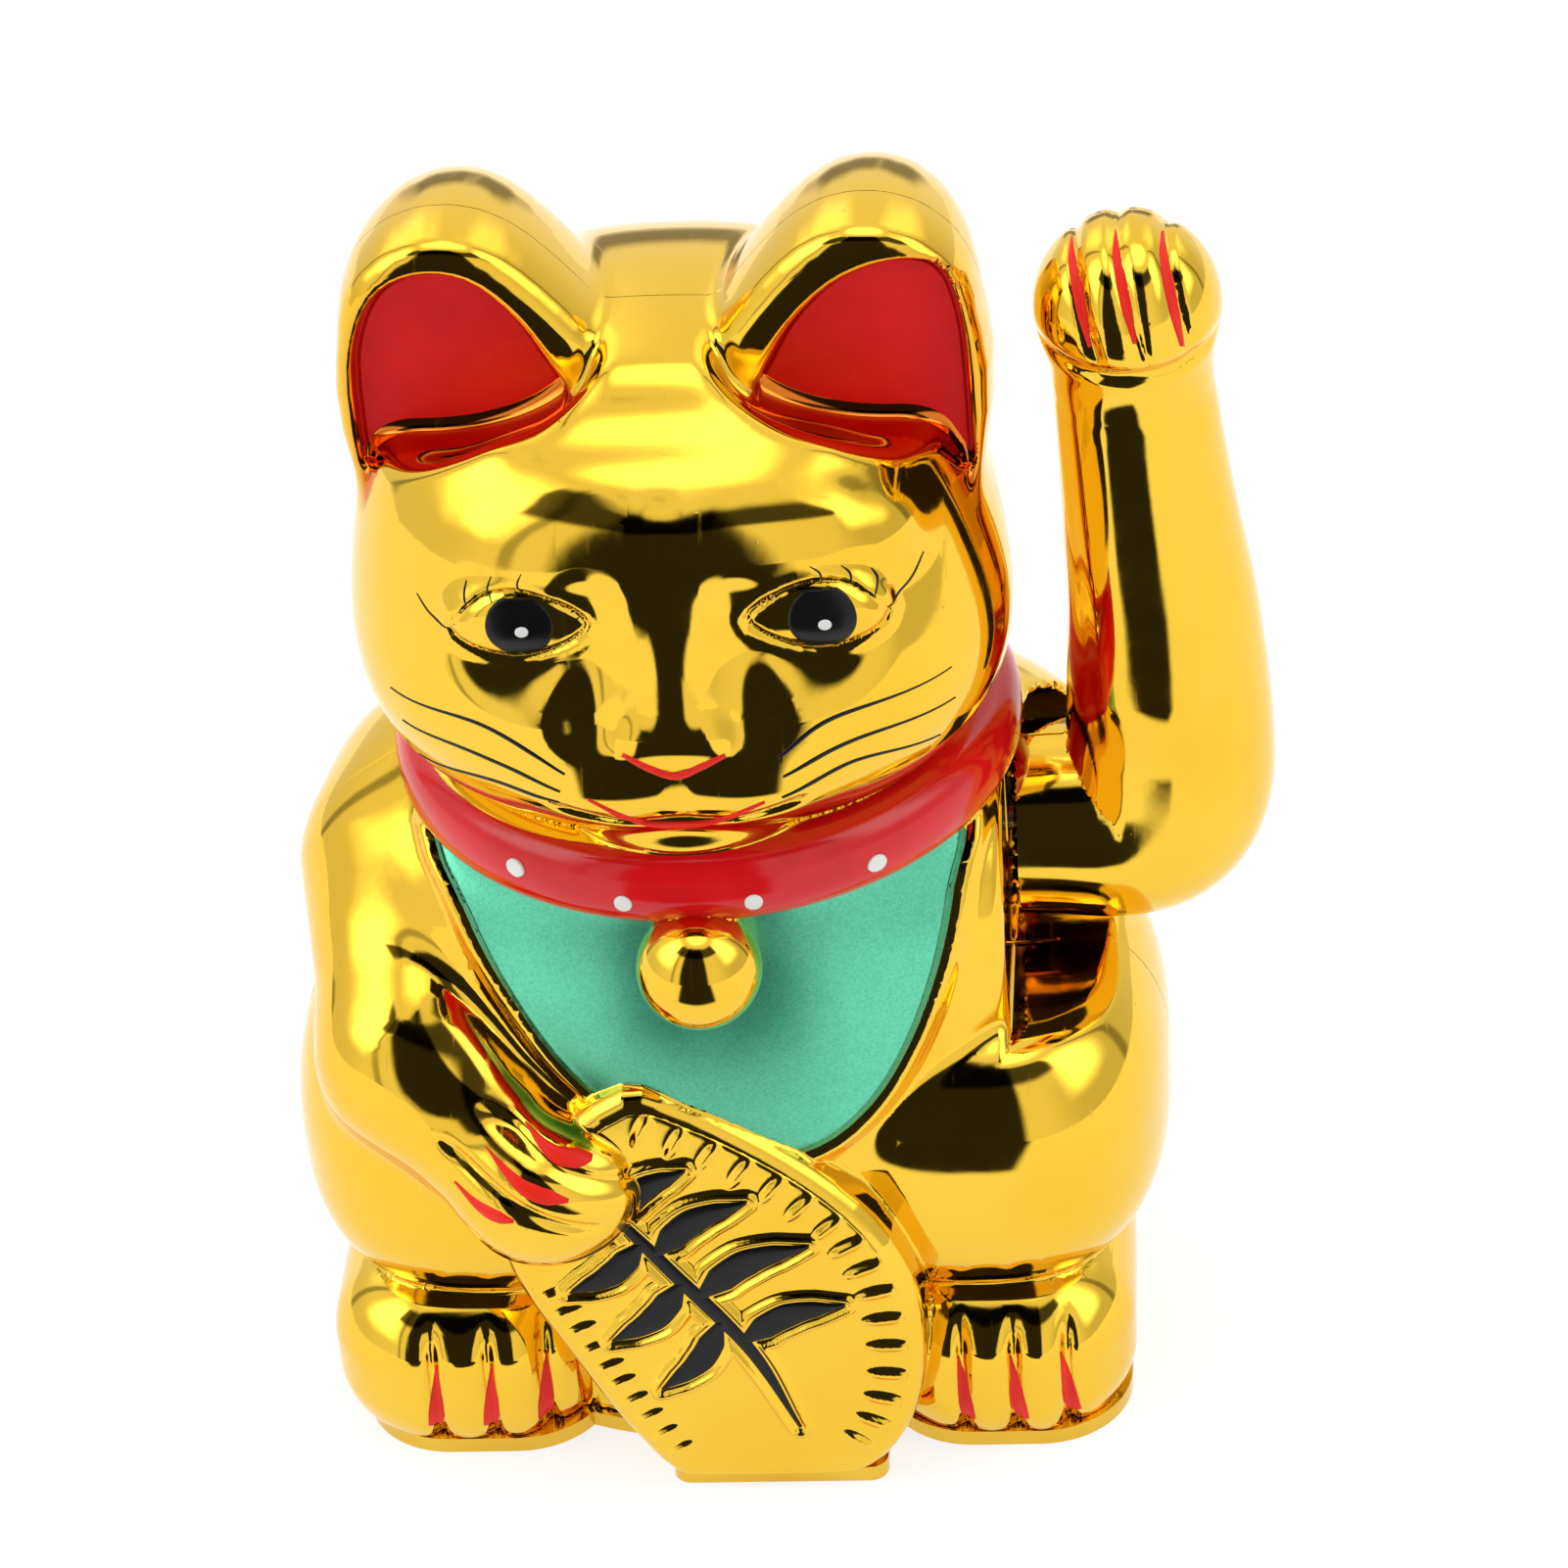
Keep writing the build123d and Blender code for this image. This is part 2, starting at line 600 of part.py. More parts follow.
with BuildPart() as lead_wire_red:
    with BuildLine() as path:
        FilletPolyline((25.8, 5.6, 15.8), (25.8, 3.1, 15.8), (-19.0, 3.1, 15.8), (-19.0, -1.2, 15.8),
                       (-19.0, -1.2, board_z + 1.3), radius=0.9)
    with BuildSketch(Plane(origin=path.line @ 0, z_dir=path.line % 0)) as s:
        Circle(0.5)
    sweep(path=path.line)

with BuildPart() as lead_wire_black:
    with BuildLine() as path:
        FilletPolyline((-27.2, 5.6, 15.8), (-27.2, 3.1, 15.8), (-24.0, 3.1, 15.8), (-24.0, -1.2, 15.8),
                       (-24.0, -1.2, board_z + 1.3), radius=0.9)
    with BuildSketch(Plane(origin=path.line @ 0, z_dir=path.line % 0)) as s:
        Circle(0.5)
    sweep(path=path.line)

# ------------------------------------------------------------------- switch
with BuildPart() as switch_housing:
    with BuildSketch(Plane.XY.offset(plate_t)) as s:
        with Locations((switch_x, switch_y)):
            Rectangle(10.0, 5.6)
    extrude(amount=4.2)
    with BuildSketch(Plane.XY.offset(plate_t + 0.5)) as s:
        with Locations((switch_x, switch_y)):
            Rectangle(8.0, 3.8)
    extrude(amount=2.8, mode=Mode.SUBTRACT)
    with BuildSketch(Plane.XY.offset(plate_t - 0.5)) as s:
        with Locations((switch_x, switch_y)):
            Rectangle(4.6, 2.6)
    extrude(amount=1.5, mode=Mode.SUBTRACT)

with BuildPart() as switch_slider:
    with BuildSketch(Plane.XY.offset(plate_t + 0.85)) as s:
        with Locations((switch_x - 1.0, switch_y)):
            Rectangle(5.2, 3.1)
    extrude(amount=2.0)
    with BuildSketch(Plane.XY.offset(0.3)) as s:
        with Locations((switch_x - 1.0, switch_y)):
            Rectangle(1.8, 1.9)
    extrude(amount=plate_t + 1.0)

# ------------------------------------------------------------------- screws
def screw(spots, z_head, z_tip, head_r, head_h, shank_r, up):
    # pan-head screws standing upright; up = +1 when the tip points up
    with BuildPart() as b:
        with BuildSketch(Plane.XY.offset(z_head if up > 0 else z_head - head_h)) as s:
            with Locations(*spots):
                Circle(head_r)
        extrude(amount=head_h)
        z0, z1 = (z_head, z_tip) if up > 0 else (z_tip, z_head)
        with BuildSketch(Plane.XY.offset(z0)) as s:
            with Locations(*spots):
                Circle(shank_r)
        extrude(amount=z1 - z0)
        with BuildSketch(Plane.XY.offset(z_head if up > 0 else z_head)) as s:
            with Locations(*spots):
                Rectangle(head_r * 1.3, 0.5)
                Rectangle(0.5, head_r * 1.3)
        extrude(amount=0.7 * up, mode=Mode.SUBTRACT)
    return b


base_screws = screw(boss_spots_front + boss_spots_rear, 0.8, 11.0, 2.3, 1.55, 1.2, 1)
frame_screws = screw(frame_posts, 11.3, 3.5, 2.0, 1.4, 0.9, -1)
board_screws = screw(board_posts, 8.6, 3.2, 1.9, 1.3, 0.9, -1)

for builder, label in [
    (front_shell, "front_shell"), (rear_shell, "rear_shell"), (base_plate, "base_plate"),
    (battery_door, "battery_door"), (arm_front_shell, "arm_front_shell"),
    (arm_rear_shell, "arm_rear_shell"), (arm_shaft, "arm_shaft"), (shaft_clips, "shaft_clips"),
    (pendulum_lever, "pendulum_lever"), (counterweight, "counterweight"),
    (drive_magnet, "drive_magnet"), (movement_frame, "movement_frame"),
    (coil_bobbin, "coil_bobbin"), (coil_winding, "coil_winding"),
    (circuit_board, "circuit_board"), (driver_chip, "driver_chip"),
    (filter_capacitor, "filter_capacitor"), (battery_cell, "battery_cell"),
    (negative_contact, "negative_contact"), (positive_contact, "positive_contact"),
    (lead_wire_red, "lead_wire_red"), (lead_wire_black, "lead_wire_black"),
    (switch_housing, "switch_housing"), (switch_slider, "switch_slider"),
    (base_screws, "base_screws"), (frame_screws, "frame_screws"),
    (board_screws, "board_screws"),
]:
    export(builder, label)
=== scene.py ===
import bpy, bmesh, math
import numpy as np
from mathutils import Vector, Matrix


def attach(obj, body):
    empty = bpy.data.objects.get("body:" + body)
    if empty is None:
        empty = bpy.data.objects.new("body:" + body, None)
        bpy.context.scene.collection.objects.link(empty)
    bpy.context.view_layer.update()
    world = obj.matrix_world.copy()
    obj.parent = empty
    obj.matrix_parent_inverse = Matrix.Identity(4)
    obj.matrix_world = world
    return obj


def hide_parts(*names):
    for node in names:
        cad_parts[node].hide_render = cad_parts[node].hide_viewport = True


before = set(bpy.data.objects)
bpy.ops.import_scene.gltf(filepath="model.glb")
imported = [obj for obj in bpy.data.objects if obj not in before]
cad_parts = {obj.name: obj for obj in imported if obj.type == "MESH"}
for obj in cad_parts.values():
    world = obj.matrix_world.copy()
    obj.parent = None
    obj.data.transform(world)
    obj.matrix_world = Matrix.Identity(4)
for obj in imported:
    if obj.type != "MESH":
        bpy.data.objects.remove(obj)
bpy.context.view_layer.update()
MM = 0.001
F4 = np.float32

# =====================================================================
#  1.  The form of the cat as a signed distance field, in millimetres
# =====================================================================
# --- form begins
PIV = (0.0, -2.0, 66.5)          # swing axis of the waving arm
SEAM = -6.5                      # glue line of the body shells
ARM_X0 = 34.0


def smin(a, b, k):
    h = np.maximum(k - np.abs(a - b), 0.0) / k
    return np.minimum(a, b) - h * h * k * 0.25


def smax(a, b, k):
    return -smin(-a, -b, k)


def ell(p, c, r):
    q = [(p[i] - c[i]) for i in range(3)]
    k0 = np.sqrt(sum((q[i] / r[i]) ** 2 for i in range(3)))
    k1 = np.sqrt(sum((q[i] / (r[i] * r[i])) ** 2 for i in range(3))) + 1e-9
    return k0 * (k0 - 1.0) / k1


def sup(p, c, r, n):
    q = [np.abs(p[i] - c[i]) / r[i] for i in range(3)]
    s = sum(v ** n for v in q) + 1e-12
    k = s ** (1.0 / n)
    g = np.sqrt(sum((q[i] ** (n - 1) / r[i]) ** 2 for i in range(3))) * k ** (1 - n) + 1e-9
    return (k - 1.0) / g


def cap(p, a, b, ra, rb=None):
    rb = ra if rb is None else rb
    d = [b[i] - a[i] for i in range(3)]
    L2 = sum(v * v for v in d)
    t = np.clip(sum((p[i] - a[i]) * d[i] for i in range(3)) / L2, 0, 1)
    return np.sqrt(sum((p[i] - a[i] - t * d[i]) ** 2 for i in range(3))) - (ra + (rb - ra) * t)


def poly2(u, v, pts):
    n = len(pts)
    d = np.full(np.shape(u), 1e18, F4)
    s = np.ones(np.shape(u), F4)
    for i in range(n):
        ax, ay = pts[i]
        bx, by = pts[i - 1]
        ex, ey = bx - ax, by - ay
        wu = u - ax
        wv = v - ay
        t = np.clip((wu * ex + wv * ey) / (ex * ex + ey * ey), 0, 1)
        d = np.minimum(d, (wu - ex * t) ** 2 + (wv - ey * t) ** 2)
        c1 = v >= ay
        c2 = v < by
        c3 = ex * wv > ey * wu
        s = np.where((c1 & c2 & c3) | (~c1 & ~c2 & ~c3), -s, s)
    return s * np.sqrt(d)


def round2(a, b):
    return np.minimum(np.maximum(a, b), 0) + np.sqrt(np.maximum(a, 0) ** 2 + np.maximum(b, 0) ** 2)


def smooth_poly(pts, n=6):
    """closed Catmull-Rom curve through the points"""
    P = np.array(pts, float)
    m = len(P)
    out = []
    for i in range(m):
        p0, p1, p2, p3 = P[i - 1], P[i], P[(i + 1) % m], P[(i + 2) % m]
        for k in range(n):
            t = k / n
            out.append(0.5 * ((2 * p1) + (-p0 + p2) * t + (2 * p0 - 5 * p1 + 4 * p2 - p3) * t * t
                              + (-p0 + 3 * p1 - 3 * p2 + p3) * t ** 3))
    return [tuple(v) for v in out]


def g1(x, s):
    return np.exp(-(x / s) ** 2)


def step(x, w):
    """0 to 1 as x passes 0, over a width of w"""
    t = np.clip(x / w + 0.5, 0, 1)
    return t * t * (3 - 2 * t)


EAR = [(23.4, 106), (26.6, 127), (26.0, 136), (24.8, 140.4), (22.0, 141.5), (19.0, 139.8), (14.2, 134.2), (11.2, 129.2), (13.0, 122), (14, 106)]
EAR = smooth_poly(EAR[:-2], 3)[3:-5] + [(13.0, 122), (14, 106), (23.4, 106)]
EAR_RED_L = smooth_poly([(-33.0, 117.5), (-33.4, 132.1), (-32.4, 138.6), (-30.0, 143.4), (-26.6, 145.7), (-22.6, 146.0), (-18.9, 144.4), (-15.1, 140.2),
                         (-12.1, 134.7), (-9.4, 128.8), (-11.5, 123.5), (-16.7, 120.5), (-24.0, 118.0), (-30.3, 116.2)], 3)
EAR_RED_R = smooth_poly([(8.0, 127.8), (10.4, 133.0), (13.6, 138.6), (18.1, 143.2), (23.0, 145.6), (27.0, 145.9), (30.0, 144.0), (31.5, 138.8), (32.0, 131.5),
                         (31.8, 117.5), (28.8, 116.0), (22.5, 117.8), (15.7, 120.0), (10.5, 122.8)], 3)
COIN = [(-9.8, 57.4), (-3.0, 55.4), (4.2, 51.0), (11.4, 45.4), (17.8, 38.2), (21.4, 30.2), (22.5, 21.6), (21.9, 14.0), (19.6, 7.4),
        (15.6, 2.4), (10.0, 0.8), (-4.0, 0.8), (-8.0, 2.4), (-11.4, 7.0), (-15.0, 13.0), (-19.0, 20.8), (-22.3, 27.2), (-24.8, 34.3), (-25.0, 40.5), (-20.0, 49.0)]
BIB = smooth_poly([(-30.5, 80), (-27.4, 72), (-22.6, 63.5), (-16.0, 54.6), (-7.0, 47.6), (4.0, 44.0), (12.0, 44.6), (18.6, 49.2),
                   (23.4, 56.4), (26.8, 65.0), (28.8, 73), (29.5, 80), (15, 84), (-15, 84)], 4)
COIN_S = smooth_poly(COIN, 3)
LEAN, LEAN_Z = 0.072, 0.951
EAR_C = -0.8                     # the ears' midline
EYE = smooth_poly([(8.4, 115.2), (11.4, 117.8), (15.6, 119.0), (19.6, 117.9), (23.0, 114.0), (20.2, 111.9), (15.6, 111.0), (11.0, 112.6)], 3)
TOES_L = [-35.4, -28.9, -22.6]
TOES_R = [26.0, 32.0, 38.0]


ARM = [(30.0, 0, 66.5, 10.9), (38.0, 0, 66.5, 11.2), (45.0, 0, 66.6, 11.8), (49.2, -.1, 68.2, 12.1), (51.2, -.2, 72.2, 12.1), (51.8, -.5, 79.5, 11.7), (51.7, -.8, 88, 11.2),
       (51.4, -1.2, 97, 10.5), (50.6, -1.6, 106, 9.8), (49.9, -2.0, 115, 9.2), (49.2, -2.4, 125, 8.7)]


def curve4(P, n):
    """Catmull-Rom through the rows of P, n steps a span"""
    P = np.array(P, float)
    Q = np.vstack([2 * P[0] - P[1], P, 2 * P[-1] - P[-2]])
    out = []
    for i in range(1, len(Q) - 2):
        p0, p1, p2, p3 = Q[i - 1], Q[i], Q[i + 1], Q[i + 2]
        for k in range(n):
            t = k / n
            out.append(0.5 * (2 * p1 + (p2 - p0) * t + (2 * p0 - 5 * p1 + 4 * p2 - p3) * t * t + (3 * p1 - p0 - 3 * p2 + p3) * t ** 3))
    out.append(P[-1])
    return [tuple(v) for v in out]


ARM_C = []
for i_ in range(len(ARM) - 1):
    R_ = np.vstack([2 * np.array(ARM[0]) - ARM[1], ARM, 2 * np.array(ARM[-1]) - ARM[-2]])[i_:i_ + 4]
    ARM_C.append(0.5 * np.array([2 * R_[1], R_[2] - R_[0], 2 * R_[0] - 5 * R_[1] + 4 * R_[2] - R_[3], 3 * R_[1] - R_[0] - 3 * R_[2] + R_[3]]))
ARM_C = np.array(ARM_C, np.float64)         # cubic coefficients, one block a span
ARM_P = curve4(ARM, 4)


def tube(p):
    """smooth swept tube: nearest point of the curve, then its radius there"""
    x, y, z = [np.asarray(v, np.float64) for v in (p[0], p[1] - PIV[1], p[2])]
    best = np.full(x.shape, 1e18)
    T = np.zeros(x.shape)
    for i in range(len(ARM_P) - 1):
        a, b = ARM_P[i], ARM_P[i + 1]
        d = [b[k] - a[k] for k in range(3)]
        t = np.clip(((x - a[0]) * d[0] + (y - a[1]) * d[1] + (z - a[2]) * d[2]) / sum(v * v for v in d), 0, 1)
        q = (x - a[0] - t * d[0]) ** 2 + (y - a[1] - t * d[1]) ** 2 + (z - a[2] - t * d[2]) ** 2
        m = q < best
        best = np.where(m, q, best)
        T = np.where(m, (i + t) / 4.0, T)
    n = len(ARM_C)
    P = (x, y, z)
    for it in range(4):
        k = np.clip(T.astype(int), 0, n - 1)
        u = T - k
        c = ARM_C[k]
        C = [c[..., 0, j] + u * (c[..., 1, j] + u * (c[..., 2, j] + u * c[..., 3, j])) for j in range(4)]
        if it == 3:
            break
        D = [c[..., 1, j] + u * (2 * c[..., 2, j] + u * 3 * c[..., 3, j]) for j in range(3)]
        H = [2 * c[..., 2, j] + 6 * u * c[..., 3, j] for j in range(3)]
        dd = sum(v * v for v in D)
        num = sum((C[j] - P[j]) * D[j] for j in range(3))
        den = np.maximum(dd + sum((C[j] - P[j]) * H[j] for j in range(3)), 0.35 * dd)
        T = np.clip(T - np.clip(num / den, -0.2, 0.2), 0, n - 1e-6)
    return (np.sqrt(sum((C[j] - P[j]) ** 2 for j in range(3))) - C[3]).astype(F4)


def mir(p):
    return (np.sqrt(p[0] * p[0] + 1.4), p[1], p[2])


def near(p, lo, hi):
    return ((p[0] > lo[0]) & (p[0] < hi[0]) & (p[1] > lo[1]) & (p[1] < hi[1]) & (p[2] > lo[2]) & (p[2] < hi[2]))


def local(b, p, lo, hi, fn):
    """apply fn(base values, points) only inside a box"""
    m = near(p, lo, hi)
    if m.any():
        q = (p[0][m], p[1][m], p[2][m])
        b = b.copy()
        b[m] = fn(b[m], q)
    return b


def head(p):
    m = mir(p)
    h = sup(p, (-1.4, -3, 110.3), (34.8, 34, 28.2), 2.3)
    h = smin(h, ell(m, (15.3, -14, 101), (18.3, 21, 15)), 11)
    h = smin(h, ell(p, (0, -22, 97.5), (20, 17, 11.5)), 9)
    # the head falls away in front of each ear, behind the brow
    e = (np.abs(p[0] - EAR_C), p[1], p[2])
    h = smax(h, -ell(e, (25.0, -15.5, 136.2), (18.5, 9.3, 10.3)), 3)
    return h


def ear(m):
    # narrow rolled rim at the front, broad back that falls away like a dome
    tri = poly2(m[0], m[2], EAR)
    y = m[1] + 7.0
    fr = smax(tri - 8.7 + 1.3 * (np.minimum(y, 0) / 8.0) ** 2, -(m[1] + 14.9), 2.6)
    bk = (np.sqrt((np.maximum(tri, 0) / 8.7) ** 2 + (np.maximum(y, 0) / 19.5) ** 2 + 1e-6) - 1) * 8.7
    return np.where(y < 0, fr, bk)


def face(b, p):
    m = mir(p)
    # eye sockets, brows and forehead
    b = smax(b, -cap(p, (-13, -26.8, 137.4), (14, -26.8, 137.4), 4.9), 5)
    q = np.sqrt(((p[1] + 22.8) / 12.2) ** 2 + ((p[2] - 119.2) / 10.4) ** 2 + np.abs((p[0] - 0.2) / 26.5) ** 2.9 + 1e-6)
    b = smin(b, (q - 1) * 10.4, 1.6)
    b = smax(b, -ell(m, (15.8, -39.5, 113.2), (8.8, 5.6, 5.0)), 5)
    b = smin(b, cap(m, (3.0, -30.6, 121.8), (17.0, -27.6, 122.6), 3.4, 1.2), 5)
    # hollows either side of the nose, then the nose: a square-fronted ridge with a flat tip
    b = smax(b, -cap(m, (8.2, -38.4, 118), (8.8, -41.0, 105.4), 3.2, 3.2), 2.6)
    b = smin(b, cap(p, (0.4, -31.2, 123), (0.3, -35.8, 103.8), 3.2, 4.3), 1.8)
    b = smin(b, cap(p, (-2.9, -37.3, 102.7), (3.5, -37.3, 102.7), 2.6), 1.6)
    # whisker pads, lips, chin
    b = smin(b, ell(m, (7.6, -31.2, 96.4), (10.4, 8.2, 5.4)), 3)
    b = smax(b, -cap(p, (0.2, -41.4, 98.2), (0.0, -40.4, 93.4), 1.0), 1.4)
    b = smin(b, ell(p, (0, -30.4, 87.4), (10.5, 6.0, 4.4)), 2.4)
    # mouth line: two shallow arcs that meet under the nose
    ax = np.abs(p[0] - 0.2)
    zm = 92.3 - 0.75 * np.exp(-((ax - 5.5) / 3.2) ** 2) + 0.014 * ax * ax
    b = b + 0.75 * g1(p[2] - zm, 0.75) * step(13.0 - ax, 4.0) * step(-p[1] - 24, 3.0)
    # eyeballs, with a raised lid line round each almond opening
    b = smin(b, ell(m, (15.8, -31.0, 114.6), (7.8, 4.1, 4.9)), 1.6)
    d = poly2(np.abs(p[0] - 0.3), p[2], EYE)
    fr = step(-p[1] - 22.0, 4.0)
    return b + fr * (0.32 * g1(d, 0.42) - 0.12 * g1(d - 0.9, 0.7))


def body(p):
    m = mir(p)
    t = ell(p, (0, 0, 60), (40.5, 35, 32))
    t = smin(t, ell(m, (28.6, 0, 62), (19.3, 23.5, 20.2)), 8)
    t = smin(t, ell(p, (0, -1, 38), (42.3, 34.5, 30)), 10)
    k = np.sqrt((p[0] / 41.0) ** 2 + (p[1] / 32.0) ** 2) + 1e-9
    sk = smax((k - 1) * 34.0, p[2] - 33, 6)
    t = smin(t, sk, 6)
    t = smin(t, ell(p, (0, -3, 83), (31.0, 31, 11)), 5)
    w = (m[0] - 0.7 * step(-p[0] - 12, 20) - 0.5 * step(p[0] - 12, 20), m[1], m[2])
    t = smin(t, sup(w, (27.4, -5, 35.4), (22.8, 29.6, 21.2), 2.6), 1.2)
    return t


def rbox(p, c, hx, hy, hz, rxy, rz):
    d = round2(np.abs(p[0] - c[0]) - (hx - rxy), np.abs(p[1] - c[1]) - (hy - rxy)) - (rxy - rz)
    return round2(d, np.abs(p[2] - c[2]) - (hz - rz)) - rz


def feet(p):
    m = mir(p)
    f = rbox((m[0] - 2.0 * step(-p[0] - 16, 30) + 0.3 * step(p[0] - 24, 30), m[1], m[2]), (30.6, -15.6, 9.2), 15.6, 19.6, 11.4, 12.3, 9.5)

    def toes(b, q):
        fr = step(-q[1] - 27.0, 6.0) * step(16.5 - q[2], 5.0)
        for x in TOES_L + TOES_R:
            b = b + 0.85 * g1(q[0] - x, 0.8) * fr
        for x in TOES_L + TOES_R:
            b = b - 0.25 * g1(np.abs(q[0] - x) - 3.0, 2.0) * fr
        return b
    return local(f, p, (-50, -42, -5), (50, -22, 20), toes)


def larm(p):
    a = cap(p, (-34.0, -5, 64), (-33.5, -24, 51.5), 14.3, 11.3)
    a = smin(a, cap(p, (-33.5, -24, 51.5), (-20, -37.0, 42.2), 11.3, 8.4), 4)
    a = smin(a, ell(p, (-18.4, -37.8, 42.2), (10.0, 7.2, 8.8)), 3)
    return a


PAW_X = (43.3, 48.0, 52.9)
CLAWS = [((-20.4, 52.1), (-13.0, 48.8)), ((-24.7, 50.5), (-15.6, 45.8)), ((-28.6, 46.1), (-21.8, 43.8))]


def lpaw(b, q):
    for (x0, z0), (x1, z1) in [((-23.5, 52.5), (-13.2, 46.8)), ((-27.8, 49.0), (-17.6, 43.6))]:
        dx, dz = x1 - x0, z1 - z0
        L = math.hypot(dx, dz)
        s = ((q[0] - x0) * dx + (q[2] - z0) * dz) / L
        n = (-(q[0] - x0) * dz + (q[2] - z0) * dx) / L
        b = b + 0.6 * g1(n, 0.8) * step(s + 2.0, 3.0) * step(L + 6 - s, 3.0) * step(-q[1] - 37.0, 4.0)
    return b


def coin(p):
    # leans back a little towards the top
    o = poly2(p[0], p[2] / LEAN_Z, COIN_S) + 2.5
    return round2(o, np.abs(p[1] + 35.6 - LEAN * p[2]) - 3.4) - 2.5


def collar(p):
    k = np.sqrt(p[0] ** 2 + (p[1] + 3.0) ** 2)
    return np.sqrt(((k - 31.3) / 3.9) ** 2 + ((p[2] - 82.0) / 4.8) ** 2) * 4.1 - 4.1


def bell(p):
    return ell(p, (0.6, -38.0, 72.6), (6.9, 6.6, 6.9))


def tail(p):
    return ell(p, (15, 32.3, 19), (10.2, 6.3, 8.2))


def pocket(p):
    r = np.sqrt((p[1] - PIV[1]) ** 2 + (p[2] - PIV[2]) ** 2)
    step_ = np.maximum(np.abs(p[2] - PIV[2]) - 14.4, p[1] - PIV[1])
    return np.maximum(np.minimum(r - 14.4, step_), 33.1 - p[0])


def ears(p):
    e = ear((np.abs(p[0] - EAR_C), p[1], p[2]))

    def recess(e, q):
        d = np.minimum(poly2(q[0], q[2], EAR_RED_L), poly2(q[0], q[2], EAR_RED_R))
        return smax(e, -round2(d + 0.9, q[1] + 12.9) + 0.9, 1.2)
    return local(e, p, (-38, -24, 112), (38, -8, 152), recess)


def chest(p):
    # raised bib on the chest, with a rolled border
    def bib(b, q):
        d = poly2(q[0], q[2], BIB)
        fr = step(-q[1] - 14.0, 6.0)
        return b - fr * (0.55 * step(1.4 - d, 1.8) + 0.55 * g1(d - 0.3, 1.0))
    return local(body(p), p, (-36, -48, 38), (36, -12, 88), bib)


def cat_outer(p):
    b = chest(p)
    b = smin(b, larm(p), 1.8)
    b = local(b, p, (-36, -50, 36), (-6, -30, 60), lpaw)
    b = smin(b, feet(p), 1.0)
    h = head(p)
    h = local(h, p, (-32, -50, 78), (32, -12, 138), face)
    h = smin(h, ears(p), 1.6)
    b = smin(b, h, 1.5)
    b = smin(b, collar(p), 0.5)
    b = smin(b, bell(p), 0.4)
    b = smin(b, coin(p), 0.6)
    b = smin(b, tail(p), 3)
    b = smax(b, -pocket(p), 1.5)
    return b


def arm_outer(p):
    s = smin(tube(p), ell(p, (48.9, -5.8, 135.3), (10.1, 10.2, 10.1)), 4)

    def forearm(b, q):
        # raised panel along the front of the forearm, and the crook at the elbow
        cx = 50.4 + (q[2] - 100) * -0.055
        d = np.abs(q[0] - cx + 1.2) - 5.6
        return b - 0.7 * step(-d, 2.0) * step(-q[1] + PIV[1] - 3.0, 3.0) * step(q[2] - 84, 10) * step(126 - q[2], 8)
    s = local(s, p, (36, -20, 78), (66, 2, 132), forearm)

    def toes(b, q):
        # three grooves over the knuckles and the crease under them
        top = step(q[2] - 133.5, 4.0) * step(-q[1] + 1.0, 6.0)
        for x in PAW_X:
            cx = x + np.clip(145.0 - q[2], 0, 12) * 0.22
            b = b + 0.62 * g1(q[0] - cx, 0.8) * top
        for x in (41.4, 46.4, 51.5, 56.6):
            b = b - 0.30 * g1(q[0] - x, 2.0) * step(q[2] - 133, 4.0) * step(-q[1] - 8.0, 6.0)
        dz = q[2] - (131.6 + 0.018 * (q[0] - 49) ** 2)
        b = b + 0.8 * g1(dz, 1.1) * step(-q[1] - 9.0, 5.0)
        return b
    s = local(s, p, (36, -20, 122), (62, 8, 148), toes)
    return np.maximum(s, ARM_X0 + 0.1 - p[0])


def shelled(f, wall, r=0.35):
    """a moulded wall of that thickness"""
    return smax(f, -(f + wall), r)


def front_f(p):
    f = cat_outer(p)
    s = smax(f, -(f + 1.9), 0.5)
    s = smax(s, 2.05 - p[2], 0.35)
    return smax(s, p[1] - SEAM + 0.05, 0.5)


def rear_f(p):
    f = cat_outer(p)
    s = smax(f, -(f + 1.9), 0.5)
    s = smax(s, 2.05 - p[2], 0.35)
    r = np.sqrt((p[1] - PIV[1]) ** 2 + (p[2] - PIV[2]) ** 2)
    s = np.where((p[0] > 26) & (p[0] < 36), smax(s, 2.5 - r, 0.3), s)
    return smax(s, SEAM + 0.05 - p[1], 0.5)


def arm_f(p, side):
    f = arm_outer(p)
    s = smax(f, -(f + 1.7), 0.4)
    r = np.sqrt((p[1] - PIV[1]) ** 2 + (p[2] - PIV[2]) ** 2)
    boss = np.maximum(np.maximum(r - 4.0, ARM_X0 + 0.1 - p[0]), p[0] - 47.0)
    s = np.minimum(s, boss)
    s = np.maximum(s, np.minimum(1.6 - r, 47.2 - p[0]))      # blind bore for the shaft
    cut = (p[1] - PIV[1] + 0.05) if side < 0 else (PIV[1] + 0.05 - p[1])
    return smax(s, cut, 0.4)
# --- form ends


# =====================================================================
#  2.  Meshing the form
# =====================================================================
def ev(f, P, chunk=40000):
    P = np.asarray(P, F4)
    out = np.empty(len(P), F4)
    for i in range(0, len(P), chunk):
        q = P[i:i + chunk]
        out[i:i + chunk] = f((q[:, 0], q[:, 1], q[:, 2]))
    return out


def grad(f, P, e=0.12):
    g = np.empty((len(P), 3), F4)
    for k in range(3):
        d = np.zeros(3, F4)
        d[k] = e
        g[:, k] = (ev(f, P + d) - ev(f, P - d)) / (2 * e)
    return g


def unit(v):
    return v / (np.linalg.norm(v, axis=-1, keepdims=True) + 1e-12)


